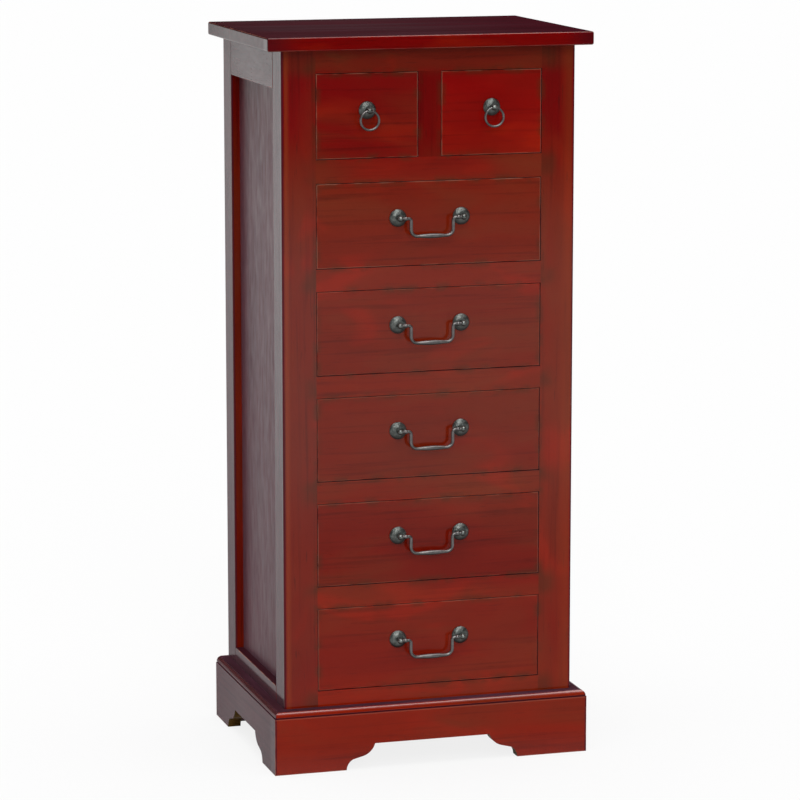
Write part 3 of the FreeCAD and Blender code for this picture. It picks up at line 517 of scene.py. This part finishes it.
class Look(NamedTuple):
    """What sets the stain and the lacquer of one board apart from the settings."""

    # Box that the stain goes a little way into, or nothing where the board is stained all over
    outside: tuple = None
    # Tone, gloss and roughness of faces to the side, where they are not those of the settings; the tone is a
    # painted shade
    aside: tuple = None
    # Box whose edges get pale lines, partly real wear and partly painted highlight, and how strong they are
    wear: tuple = None
    rub: float = 0.65
    # Box whose upright corners get a dark line of painted shade
    corners: tuple = None
    # How much, and how far in widths of the dark line, the stain thins beside a corner
    amber: tuple = (0, 1)
    # Box whose two ends are dark
    ends: tuple = None
    # Axis through a board whose arch has bare edges
    sawn_across: str = None
    # How light the stain is, how much darker it gets near the top, and how brown its clouds are
    depth: float = 1.0
    fade: float = 0.0
    clouds: float = 1.0
    # How shiny the front is, and how uneven the lacquer on the side is
    gloss: float = 1.0
    ribs: float = 0.25
    # Refraction of the stain and of the lacquer over it
    shine: float = 1.06
    glaze: float = 1.5
    # Weight of the haze, where it is not that of the settings
    sheen: float = None
    # 1 where dark glaze gathers beside the drawers, and -1 where it gathers on their rims
    smoke: int = 0
    # How dark the ends of the rails leave a post
    smudge: float = 0.0


class StainedBoard:
    """The stain and lacquer of one board, which each method takes a step further."""

    def __init__(self, node, grain, look):
        self.node = node
        self.grain = grain
        self.look = look
        self.settings = bpy.context.scene.semainier_stain
        own = (self.settings.side_shade_wine, self.settings.side_gloss, self.settings.roughness)
        self.side_tone, self.side_gloss, self.roughness = look.aside or own
        self.level_gloss = self.settings.top_gloss
        self.finish = new_finish(f"{node}_stain")
        self.place = self.finish.place()
        self.x, self.y, self.z = self.finish.parts(self.place)
        self.facing = dict(zip("xyz", (abs(part) for part in self.finish.parts(self.finish.facing()))))
        self.to_side = self.finish.smooth(self.facing["x"] - self.facing["y"], *TO_SIDE)
        self.level = self.finish.smooth(self.facing["z"], *LEVEL)
        self.ahead = (1 - self.to_side) * (1 - self.level)
        self.broad = self.noise(BROAD_CLOUDS)
        self.patches = self.noise(PATCHES)
        self.streaks = self.noise(STREAKS)
        self.pits = self.shown(PORES)

    def noise(self, pattern):
        return self.finish.noise(self.place, pattern, self.grain)

    def shown(self, pattern):
        """Where a pattern shows on the board, as a share."""
        return self.finish.shown(self.noise(pattern), pattern)

    def tint(self, share, colour):
        """Mixes a share of a colour into the tone."""
        self.tone = self.finish.mix(share, self.tone, colour)

    def from_ends(self, box):
        """How far a point is from the left or right side of a box, whichever is nearer."""
        return self.finish.math("MINIMUM", self.x - box[0].x, box[1].x - self.x)

    def stain(self):
        """Lays the red of the front with brown and bright clouds, and on faces to the side a darker, cooler
        tone of painted shade.
        """
        finish, settings = self.finish, self.settings
        self.tone = red_stain(finish, self.z, settings)
        self.tint(finish.shown(self.broad, BROAD_CLOUDS) * self.look.clouds, settings.umber)
        self.tint(finish.shown(self.patches, PATCHES) * self.look.clouds, settings.umber)
        self.tint(self.shown(FLAMES), settings.flame)
        # Faces turned to the side take the darker, cooler side tone: painted shade
        self.tint(self.to_side, self.side_tone)

    def stain_level(self):
        """Lays the tone of level faces, a painted shade, with pale lines of painted reflection, which a board
        with dark ends loses to the right.
        """
        settings, ends = self.settings, self.look.ends
        pale = self.shown(REFLECTION_LINES)
        if ends:
            # Towards the right the painted reflection fades, and so does the gloss
            across = self.finish.smooth(self.x, ends[0].x / 3, ends[1].x)
            pale = pale * (1 - across * TOP_REFLECTION_LOST)
            self.level_gloss = settings.top_gloss * (TOP_GLOSS_LEFT - across * TOP_GLOSS_LOST)
        # The plinth's ledge takes a mauve painted reflection in place of the plum shade
        dark = settings.ledge_reflection_mauve if self.look.sawn_across else settings.level_shade_plum
        # Level faces take the dark tone of painted shade, streaked with painted reflection
        self.tint(self.level, self.finish.mix(pale, dark, settings.reflected_dusk))

    def mark(self):
        """Adds pin knots and scars."""
        finish = self.finish
        sockets = {"Vector": finish.squeezed(self.place, KNOTS, self.grain), "Scale": KNOTS.scale}
        cells = finish.add("ShaderNodeTexVoronoi", None, sockets)
        knots = (1 - finish.smooth(cells, *KNOTS.shows)) * KNOTS.share
        scars = self.shown(SCARS) * SCAR_SHARES[self.grain]
        self.tint(finish.math("MAXIMUM", knots, scars), self.settings.knot)

    def darken_ends(self):
        near_end = 1 - self.finish.smooth(self.from_ends(self.look.ends), *DARK_END)
        self.tint(near_end * END_SHARE, self.settings.level_shade_plum)

    def shade(self):
        """Makes the tone lighter and darker with the grain."""
        finish = self.finish
        light = SHADE_LEAST + self.broad * SHADE_BROAD + self.patches * SHADE_PATCHES
        light = light - finish.shown(self.streaks, STREAKS) - self.pits * SHADE_PITS
        light = light * self.look.depth
        light = light * (1 - finish.smooth(self.z, *FADE_HEIGHT) * self.look.fade)
        self.tone = finish.mix(1.0, self.tone, grey(finish, light), "MULTIPLY")

    def lacquer(self):
        """Sets the weight of the lacquer: uneven on the side, thick on eased edges and thin over pores."""
        finish, facing = self.finish, self.facing
        side = SIDE_FOOT_GLOSS + finish.smooth(self.z, *SIDE_HEIGHT) * (1 - SIDE_FOOT_GLOSS)
        side = side * (1 - finish.smooth(self.y, *SIDE_DEPTH) * SIDE_BACK_LOST) * self.side_gloss
        stripes = self.noise(STRIPES) - NOISE_MIDDLE
        flecks = self.noise(FLECKS) - NOISE_MIDDLE
        side = side * (1 + (stripes * STRIPE_SHARE + flecks * FLECK_SHARE) * self.look.ribs)
        weight = blend(self.to_side, front_gloss(finish, self.z, self.settings) * self.look.gloss, side)
        lip = (1 - finish.smooth(self.y - CARCASS_BOX[0].y, *LIP)) * self.to_side
        weight = blend(self.level, weight * (1 + lip * LIP_GAIN), self.level_gloss)
        flat = finish.math("MAXIMUM", finish.math("MAXIMUM", facing["x"], facing["y"]), facing["z"])
        eased = (1 - finish.smooth(flat, *FLAT)) * finish.smooth(facing["z"], *UPPER_EDGE)
        weight = blend(eased, weight, self.settings.edge_gloss)
        self.weight = weight * (COAT_LEAST + self.streaks * COAT_STREAKS - self.pits * COAT_PITS)

    def darken_corners(self):
        """Draws a dark line of painted shade down the upright corners of a box, with a strip of thin stain
        beside it.
        """
        width = self.settings.corner_shade_width
        much, far = self.look.amber
        rim = self.from_ends(self.look.corners)
        corner_shade = (1 - self.finish.smooth(rim, 0.6 * width, width)) * self.ahead
        strip = self.finish.smooth(rim, width, 1.6 * width)
        strip = strip * (1 - self.finish.smooth(rim, 2 * width, (2 + far) * width))
        self.tint(strip * self.ahead * much, self.settings.amber)
        # The dark line on the rounded corner is painted shade
        self.tint(corner_shade * CORNER_SHADE_SHARE, self.settings.painted_shade)
        self.weight = self.weight * (1 - corner_shade * CORNER_SHADE_DULLS)

    def glaze_drawer_edges(self):
        """Gathers dark glaze in spots beside the drawers or on their rims."""
        away = off_drawers(self.finish, self.x, self.z) * self.look.smoke
        gathered = 1 - self.finish.smooth(away, 0.0, self.settings.smoke_width)
        self.tint(gathered * self.shown(SMOKE_SPOTS) * self.ahead, self.settings.smoke)

    def smudge_rail_ends(self):
        soot = rail_smudges(self.finish, self.x, self.z, self.settings.smoke_width) * self.ahead
        self.tint(soot * self.shown(SMUDGE_SPOTS) * self.look.smudge, self.settings.smoke)

    def rub_and_highlight_edges(self):
        # Pale lines along the edges: partly real wear, partly a painted highlight on the eased arris
        width = self.settings.wear_width
        distance = edge_distance(self.finish, self.place, *self.look.wear)
        rubbed_and_lit = (1 - self.finish.smooth(distance, 0.35 * width, width)) * self.shown(RUB_AND_HIGHLIGHT_SPOTS)
        self.tint(rubbed_and_lit * self.look.rub, self.settings.worn_and_lit)

    def shade_quirk(self):
        """Darkens the groove in a moulding with painted shade, and lightens the sharp edge under it with a
        painted highlight.
        """
        finish, settings = self.finish, self.settings
        width = settings.wear_width
        below = settings.quirk - self.z
        groove = 1 - finish.smooth(abs(below), 0.6 * width, 0.8 * width)
        arris = finish.smooth(abs(below), 0.9 * width, 1.1 * width)
        arris = arris * (1 - finish.smooth(below, 1.5 * width, 2 * width))
        arris = arris * finish.smooth(below, 0, width) * (1 - self.to_side)
        # The edge under the groove gets a painted highlight, and the groove painted shade
        self.tint(arris * ARRIS_SHARE, settings.worn_and_lit)
        self.tint(groove * GROOVE_SHARE, settings.painted_shade)

    def bare_arch(self):
        """Leaves the sawn edges of an arch bare."""
        finish, settings, axis = self.finish, self.settings, AXES[self.grain]
        low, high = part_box(self.node)
        along = {"x": self.x, "y": self.y}[self.grain]
        end = finish.math("MINIMUM", along - low @ axis, high @ axis - along)
        sawn = 1 - finish.smooth(self.z, ARCH_TOP, ARCH_TOP + settings.wear_width)
        sawn = sawn * (1 - finish.smooth(self.facing[self.look.sawn_across], *BOARD_FACE))
        sawn = sawn * finish.smooth(end, *SAWN_END)
        self.tint(sawn * SAWN_SHARE, settings.sawn)
        self.weight = self.weight * (1 - sawn)

    def bare_inside(self):
        """Leaves the wood bare further in than the stain reaches."""
        hardwood = bpy.context.scene.semainier_bare_wood.hardwood
        hidden = buried(self.finish, self.place, *self.look.outside, self.settings.stain_reach)
        self.tint(hidden, bare_grain(self.finish, self.place, self.grain, hardwood)[0])
        self.weight = self.weight * (1 - hidden)

    def surface(self):
        """Ends the material in one shader."""
        sheen = self.settings.sheen if self.look.sheen is None else self.look.sheen
        return self.finish.surface(
            Base_Color=self.tone,
            Roughness=ROUGH_LEAST + self.streaks * ROUGH_STREAKS,
            IOR=self.look.shine,
            Coat_Weight=self.weight,
            Coat_Roughness=self.roughness,
            Coat_IOR=self.look.glaze,
            Sheen_Weight=sheen,
            Sheen_Roughness=HAZE_ROUGHNESS,
            Sheen_Tint=rgba(self.settings.haze),
            Normal=self.finish.bump(self.streaks * STREAK_RELIEF - self.pits, RELIEF),
        )


def stained_wood(node, grain, **look):
    """The material of one board: red stain under lacquer, with wear, marks and painted light as its look
    says.
    """
    board = StainedBoard(node, grain, Look(**look))
    board.stain()
    board.stain_level()
    board.mark()
    if board.look.ends:
        board.darken_ends()
    board.shade()
    board.lacquer()
    if board.look.corners:
        board.darken_corners()
    if board.look.smoke:
        board.glaze_drawer_edges()
    if board.look.smudge:
        board.smudge_rail_ends()
    if board.look.wear:
        board.rub_and_highlight_edges()
    if board.look.sawn_across:
        board.shade_quirk()
        board.bare_arch()
    if board.look.outside:
        board.bare_inside()
    return board.surface()


# Metal: its patterns, where its patina is rubbed, where faces turned down get black painted shade, and how
# strongly each thing tells
DIMPLES = Pattern(420, 3)
MOTTLE = Pattern(160, 4)
TURNING_MARKS = Pattern(900, 3)
PATINA_WORN = (0.40, 0.62)
PROUD_OF_FACE = (0.003, 0.018)
UNDERNEATH = (-0.60, 0.20)
UNDERNEATH_BLACK = 0.6
RUB_LEAST = 0.30
RUB_PROUD = 0.32
PEWTER_METAL = 0.9
PEWTER_UNEVEN = 0.12
ZINC_DULL = 0.5
ZINC_ROUGHNESS = 0.28
ZINC_UNEVEN = 0.2
ZINC_RELIEF = 0.00005


def pewter(name, depth, speckle, bright):
    """Cast pewter gone dark: how uneven it is, how mottled, and its bright colour where rubbed on upper
    faces, partly a painted highlight; faces turned down get black painted shade.
    """
    settings = bpy.context.scene.semainier_metal
    finish = new_finish(name)
    place = finish.place()
    dimples = finish.noise(place, DIMPLES)
    mottle = finish.noise(place, MOTTLE)
    proud = finish.smooth(FACE - finish.parts(place)[1], *PROUD_OF_FACE)
    under = 1 - finish.smooth(finish.parts(finish.facing())[2], *UNDERNEATH)
    worn_and_lit = finish.smooth(blend(0.5, dimples, mottle), *PATINA_WORN)
    worn_and_lit = blend(speckle, NOISE_MIDDLE, worn_and_lit)
    # Rubbed metal on proud parts, kept off faces turned down: real wear and a painted highlight
    rub = worn_and_lit * (RUB_LEAST + proud * RUB_PROUD) * (1 - under)
    # Black on faces turned down: painted shade
    tone = finish.mix(under * UNDERNEATH_BLACK, settings.pewter, settings.patina)
    return finish.surface(
        Base_Color=finish.mix(rub, tone, bright),
        Metallic=PEWTER_METAL,
        Roughness=settings.roughness + mottle * PEWTER_UNEVEN - rub * PEWTER_UNEVEN,
        Normal=finish.bump(dimples, depth),
    )


def zinc(name):
    """Zinc plating with fine turning marks."""
    settings = bpy.context.scene.semainier_metal
    finish = new_finish(name)
    dull = finish.noise(finish.place(), TURNING_MARKS)
    return finish.surface(
        Base_Color=finish.mix(dull * ZINC_DULL, settings.zinc, tuple(0.5 * part for part in settings.zinc)),
        Metallic=1.0,
        Roughness=ZINC_ROUGHNESS + dull * ZINC_UNEVEN,
        Normal=finish.bump(dull, ZINC_RELIEF),
    )


def dress(node, material):
    """Puts a material in every slot of a node."""
    slots = frame["nodes"][node].material_slots
    if not slots:
        raise RuntimeError(f"{node} has no material slot")
    for slot in slots:
        slot.material = material


class SEMAINIER_OT_frame(bpy.types.Operator):
    """Stains the posts, rails and upright of the carcass."""

    bl_idname = "semainier.frame"
    bl_label = "Frame"

    def execute(self, context):
        post = {"outside": CARCASS_BOX, "corners": CARCASS_BOX}
        front_post = {**post, "smoke": 1, "smudge": 0.45}
        rail = {"outside": CARCASS_BOX, "smoke": 1}
        left = {"depth": 0.93, "fade": 0.06, "clouds": 0.5, "gloss": 1.4, "amber": (0.5, 2)}
        right = {"depth": 1.08, "fade": 0.22, "clouds": 0.9, "amber": (0.35, 6)}
        muntin = {"depth": 0.77, "clouds": 0.4, "gloss": 0.7}
        drawer_rail = {"depth": 1.12, "fade": 0.06, "clouds": 1.2}
        dress("front_left_post", stained_wood("front_left_post", "z", **front_post, **left))
        dress("front_right_post", stained_wood("front_right_post", "z", **front_post, **right))
        for node in ("back_left_post", "back_right_post"):
            dress(node, stained_wood(node, "z", **post))
        dress("centre_muntin", stained_wood("centre_muntin", "z", **rail, **muntin))
        dress("front_top_rail", stained_wood("front_top_rail", "x", **rail, depth=0.95, clouds=1.9))
        dress("drawer_rails", stained_wood("drawer_rails", "x", **rail, **drawer_rail))
        # The front bottom rail is made lighter than its stain to make up for its shade: painted light
        dress("front_bottom_rail", stained_wood("front_bottom_rail", "x", **rail, depth=1.24))
        for node in ("side_top_rails", "side_bottom_rails"):
            low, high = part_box(node)
            # On the side rails the pale edge lines are a painted highlight
            wear = (low - AXES["y"], high + AXES["y"])
            dress(node, stained_wood(node, "y", outside=CARCASS_BOX, wear=wear))
        return {"FINISHED"}


class SEMAINIER_OT_side_panels(bpy.types.Operator):
    """Stains the panels in the sides."""

    bl_idname = "semainier.side_panels"
    bl_label = "Side panels"

    def execute(self, context):
        stain = context.scene.semainier_stain
        aside = (stain.panel_shade_mauve, stain.panel_gloss, stain.panel_roughness)
        look = {"outside": CARCASS_BOX, "aside": aside, "ribs": 1.1, "sheen": stain.panel_sheen}
        for node in ("left_side_panel", "right_side_panel"):
            dress(node, stained_wood(node, "z", **look))
        return {"FINISHED"}


class SEMAINIER_OT_top(bpy.types.Operator):
    """Stains the top board."""

    bl_idname = "semainier.top"
    bl_label = "Top board"

    def execute(self, context):
        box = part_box("top_board")
        look = {"depth": 0.86, "clouds": 0.5, "gloss": 0.6, "shine": 1.0, "sheen": 0}
        dress("top_board", stained_wood("top_board", "x", wear=box, ends=box, **look))
        return {"FINISHED"}


class SEMAINIER_OT_plinth(bpy.types.Operator):
    """Stains the boards of the plinth."""

    bl_idname = "semainier.plinth"
    bl_label = "Plinth"

    def execute(self, context):
        stain = context.scene.semainier_stain
        aside = (stain.side_shade_wine, 0.62 * stain.side_gloss, stain.roughness)
        look = {"aside": aside, "wear": PLINTH_BOX, "corners": PLINTH_BOX, "gloss": 0.36, "glaze": 1.9}
        dress("plinth_front", stained_wood("plinth_front", "x", sawn_across="y", **look))
        for node in ("plinth_left", "plinth_right"):
            dress(node, stained_wood(node, "y", sawn_across="x", **look))
        return {"FINISHED"}


class SEMAINIER_OT_drawer_fronts(bpy.types.Operator):
    """Stains the fronts of the drawers."""

    bl_idname = "semainier.drawer_fronts"
    bl_label = "Drawer fronts"

    def execute(self, context):
        looks = {
            "small_drawer_left": {"depth": 0.92},
            "small_drawer_right": {"depth": 1.16, "clouds": 0.25, "gloss": 0.6},
            "drawer_1": {"depth": 1.05, "gloss": 0.8},
            "drawer_2": {"rub": 0.35},
            "drawer_3": {"rub": 0.35},
            "drawer_4": {"depth": 0.94, "rub": 0.45},
            "drawer_5": {"depth": 1.08, "clouds": 0.7, "rub": 0.40},
        }
        for drawer, look in looks.items():
            node = f"{drawer}_front"
            board = {"outside": CARCASS_BOX, "wear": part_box(node), "smoke": -1}
            dress(node, stained_wood(node, "x", **board, **look))
        return {"FINISHED"}


class SEMAINIER_OT_drawer_boxes(bpy.types.Operator):
    """Planes the sides, backs and bottoms of the drawers."""

    bl_idname = "semainier.drawer_boxes"
    bl_label = "Drawer boxes"

    def execute(self, context):
        settings = context.scene.semainier_bare_wood
        box = bare_wood("drawer_wood", "y", settings.drawer_wood)
        bottom = bare_wood("drawer_bottom_plywood", "x", settings.plywood)
        for drawer in DRAWERS:
            dress(f"{drawer}_box", box)
            dress(f"{drawer}_bottom", bottom)
        return {"FINISHED"}


class SEMAINIER_OT_inside(bpy.types.Operator):
    """Planes what is inside and behind: runners, kickers, stops, back rails and back panel."""

    bl_idname = "semainier.inside"
    bl_label = "Inside and back"

    def execute(self, context):
        settings = context.scene.semainier_bare_wood
        runner_wood = bare_wood("runner_hardwood", "y", settings.hardwood)
        for node in ("drawer_runners", "centre_runner", "top_kickers"):
            dress(node, runner_wood)
        rail_wood = bare_wood("rail_hardwood", "x", settings.hardwood)
        for node in ("drawer_stops", "back_rails"):
            dress(node, rail_wood)
        dress("back_panel", bare_wood("back_plywood", "z", settings.plywood))
        return {"FINISHED"}


# Sides of the head of a pin, and the width of its crown as a share of its foot
PIN_SIDES = 10
PIN_CROWN = 0.6


class SEMAINIER_OT_back_pins(bpy.types.Operator):
    """Pins the back panel to the posts and rails behind the drawers."""

    bl_idname = "semainier.back_pins"
    bl_label = "Back pins"

    def execute(self, context):
        settings = context.scene.semainier_pins
        low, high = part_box("back_panel")
        left, right = low.x + settings.inset, high.x - settings.inset
        bottom, top = low.z + settings.inset, high.z - settings.inset
        rows = round((top - bottom) / settings.spacing)
        columns = round((right - left) / settings.spacing)
        heights = [bottom + (top - bottom) * step / rows for step in range(rows + 1)]
        across = [left + (right - left) * step / columns for step in range(1, columns)]
        places = [(x, z) for x in (left, right) for z in heights]
        places += [(x, z) for z in (bottom, top) for x in across]
        backwards = Matrix.Rotation(-math.pi / 2, 4, "X")
        shape = bmesh.new()
        for x, z in places:
            bmesh.ops.create_cone(
                shape,
                cap_ends=True,
                segments=PIN_SIDES,
                radius1=settings.radius,
                radius2=settings.radius * PIN_CROWN,
                depth=settings.proud,
                matrix=Matrix.Translation((x, high.y + settings.proud / 2, z)) @ backwards,
            )
        mesh = bpy.data.meshes.new("back_panel_pins")
        shape.to_mesh(mesh)
        shape.free()
        pins = bpy.data.objects.new("back_panel_pins", mesh)
        context.scene.collection.objects.link(pins)
        mesh.materials.append(zinc("pin_zinc"))
        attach(pins, "carcass")
        return {"FINISHED"}


class SEMAINIER_OT_pulls(bpy.types.Operator):
    """Darkens the posts, bails and rings of the pulls."""

    bl_idname = "semainier.pulls"
    bl_label = "Pulls"

    def execute(self, context):
        settings = context.scene.semainier_metal
        smooth = pewter("smooth_pewter", settings.cast_depth, 0.35, settings.handled)
        hammered = pewter("hammered_pewter", settings.hammer_depth, 0.90, settings.rubbed_and_lit)
        for drawer in WIDE_DRAWERS:
            dress(f"{drawer}_pull_posts", hammered)
            dress(f"{drawer}_bail", smooth)
        for drawer in SMALL_DRAWERS:
            dress(f"{drawer}_pull_post", hammered)
            dress(f"{drawer}_ring", smooth)
        return {"FINISHED"}


class SEMAINIER_OT_screws(bpy.types.Operator):
    """Plates the screws that hold the top."""

    bl_idname = "semainier.screws"
    bl_label = "Screws"

    def execute(self, context):
        dress("top_fixing_screws", zinc("zinc_plate"))
        return {"FINISHED"}


def make_floor(settings):
    """A wide pale floor."""
    shape = bmesh.new()
    bmesh.ops.create_grid(shape, x_segments=1, y_segments=1, size=settings.floor_size)
    mesh = bpy.data.meshes.new("floor")
    shape.to_mesh(mesh)
    shape.free()
    floor = bpy.data.objects.new("floor", mesh)
    bpy.context.scene.collection.objects.link(floor)
    finish = new_finish("floor_paint")
    paint = finish.add("ShaderNodeBsdfDiffuse", None, {"Color": rgba(settings.floor)})
    glow = finish.add("ShaderNodeEmission", None, {"Strength": 1.0})
    kinds = ("Is Camera Ray", "Is Glossy Ray", "Is Transmission Ray")
    rays = [finish.add("ShaderNodeLightPath", output=kind) for kind in kinds]
    share = (rays[0] + rays[1] + rays[2]) * settings.floor_glow
    both = finish.add("ShaderNodeMixShader", None, {0: share, 1: paint, 2: glow})
    finish.add("ShaderNodeOutputMaterial", None, {"Surface": both})
    mesh.materials.append(finish.owner)


# Angles in degrees above the horizon where the pale band ends, and where the dome and the soft box begin
BAND_ENDS = (3.4, 3.9)
DOME_BEGINS = (28, 52)
BOX_BEGINS = (60, 68)


def sphere_heights(low, high):
    """Two angles above the horizon as heights on a sphere round the room."""
    return math.sin(math.radians(low)), math.sin(math.radians(high))


def make_world(settings):
    """Lights the room by height: a pale band, a dim room above it, a soft dome and a soft box overhead."""
    world = bpy.data.worlds.new("studio")
    bpy.context.scene.world = world
    finish = Finish(world)
    height = finish.parts(finish.add("ShaderNodeTexCoord", output="Generated"))[2]
    pale = 1 - finish.smooth(height, *sphere_heights(*BAND_ENDS))
    dome = finish.smooth(height, *sphere_heights(*DOME_BEGINS))
    box = finish.smooth(height, *sphere_heights(*BOX_BEGINS))
    light = settings.gloom + pale * (settings.horizon - settings.gloom)
    light = light + dome * (settings.dome - settings.gloom)
    light = light + box * (settings.zenith - settings.dome)
    shader = finish.add("ShaderNodeBackground", None, {"Color": (1, 1, 1, 1), "Strength": light})
    finish.add("ShaderNodeOutputWorld", None, {"Surface": shader})


def turned(turn, height):
    """The way to something at an angle to the right of the front and above the floor."""
    return Vector((math.sin(turn) * math.cos(height), -math.cos(turn) * math.cos(height), math.sin(height)))


def place_facing(made, place, towards):
    """Puts a lamp or camera at a place, looking along a direction."""
    bpy.context.scene.collection.objects.link(made)
    made.matrix_world = Matrix.Translation(place) @ towards.to_track_quat("-Z", "Y").to_matrix().to_4x4()


def make_sun(settings):
    """The soft light from the front."""
    lamp = bpy.data.lights.new("front_light", "SUN")
    lamp.energy = settings.sun
    lamp.angle = settings.sun_spread
    way = turned(settings.sun_turn, settings.sun_height)
    place_facing(bpy.data.objects.new("front_light", lamp), way * settings.camera_distance, -way)


def make_camera(settings):
    """The camera, from the left of the front and a little above."""
    data = bpy.data.cameras.new("camera")
    data.lens = settings.lens
    data.clip_end = 4 * settings.floor_size
    way = turned(settings.camera_turn, settings.camera_height)
    camera = bpy.data.objects.new("camera", data)
    place_facing(camera, Vector(settings.camera_target) + way * settings.camera_distance, -way)
    bpy.context.scene.camera = camera


class SEMAINIER_OT_stage(bpy.types.Operator):
    """Lays the floor, lights the room and sets up the camera."""

    bl_idname = "semainier.stage"
    bl_label = "Stage"

    def execute(self, context):
        settings = context.scene.semainier_stage
        make_floor(settings)
        make_world(settings)
        make_sun(settings)
        make_camera(settings)
        context.scene.view_settings.view_transform = "Standard"
        return {"FINISHED"}


SETTINGS = {
    "semainier_stain": StainSettings,
    "semainier_bare_wood": BareWoodSettings,
    "semainier_metal": MetalSettings,
    "semainier_pins": PinSettings,
    "semainier_stage": StageSettings,
}
OPERATORS = (
    SEMAINIER_OT_frame,
    SEMAINIER_OT_side_panels,
    SEMAINIER_OT_top,
    SEMAINIER_OT_plinth,
    SEMAINIER_OT_drawer_fronts,
    SEMAINIER_OT_drawer_boxes,
    SEMAINIER_OT_inside,
    SEMAINIER_OT_back_pins,
    SEMAINIER_OT_pulls,
    SEMAINIER_OT_screws,
    SEMAINIER_OT_stage,
)


class SEMAINIER_PT_panel(bpy.types.Panel):
    """Lists the steps of the finish."""

    bl_idname = "SEMAINIER_PT_panel"
    bl_label = "Semainier"
    bl_space_type = "VIEW_3D"
    bl_region_type = "UI"
    bl_category = "Semainier"

    def draw(self, context):
        for operator in OPERATORS:
            self.layout.operator(operator.bl_idname)
        for name, kind in SETTINGS.items():
            box = self.layout.box()
            box.label(text=kind.__doc__)
            for setting in kind.__annotations__:
                box.prop(getattr(context.scene, name), setting)


def register():
    for kind in (*SETTINGS.values(), *OPERATORS, SEMAINIER_PT_panel):
        bpy.utils.register_class(kind)
    for name, kind in SETTINGS.items():
        setattr(bpy.types.Scene, name, PointerProperty(type=kind))


def unregister():
    for name in SETTINGS:
        delattr(bpy.types.Scene, name)
    for kind in (SEMAINIER_PT_panel, *reversed(OPERATORS), *reversed(SETTINGS.values())):
        bpy.utils.unregister_class(kind)


def main():
    """Finishes the chest step by step."""
    register()
    for operator in OPERATORS:
        group, step = operator.bl_idname.split(".")
        getattr(getattr(bpy.ops, group), step)()


if __name__ == "__main__":
    main()
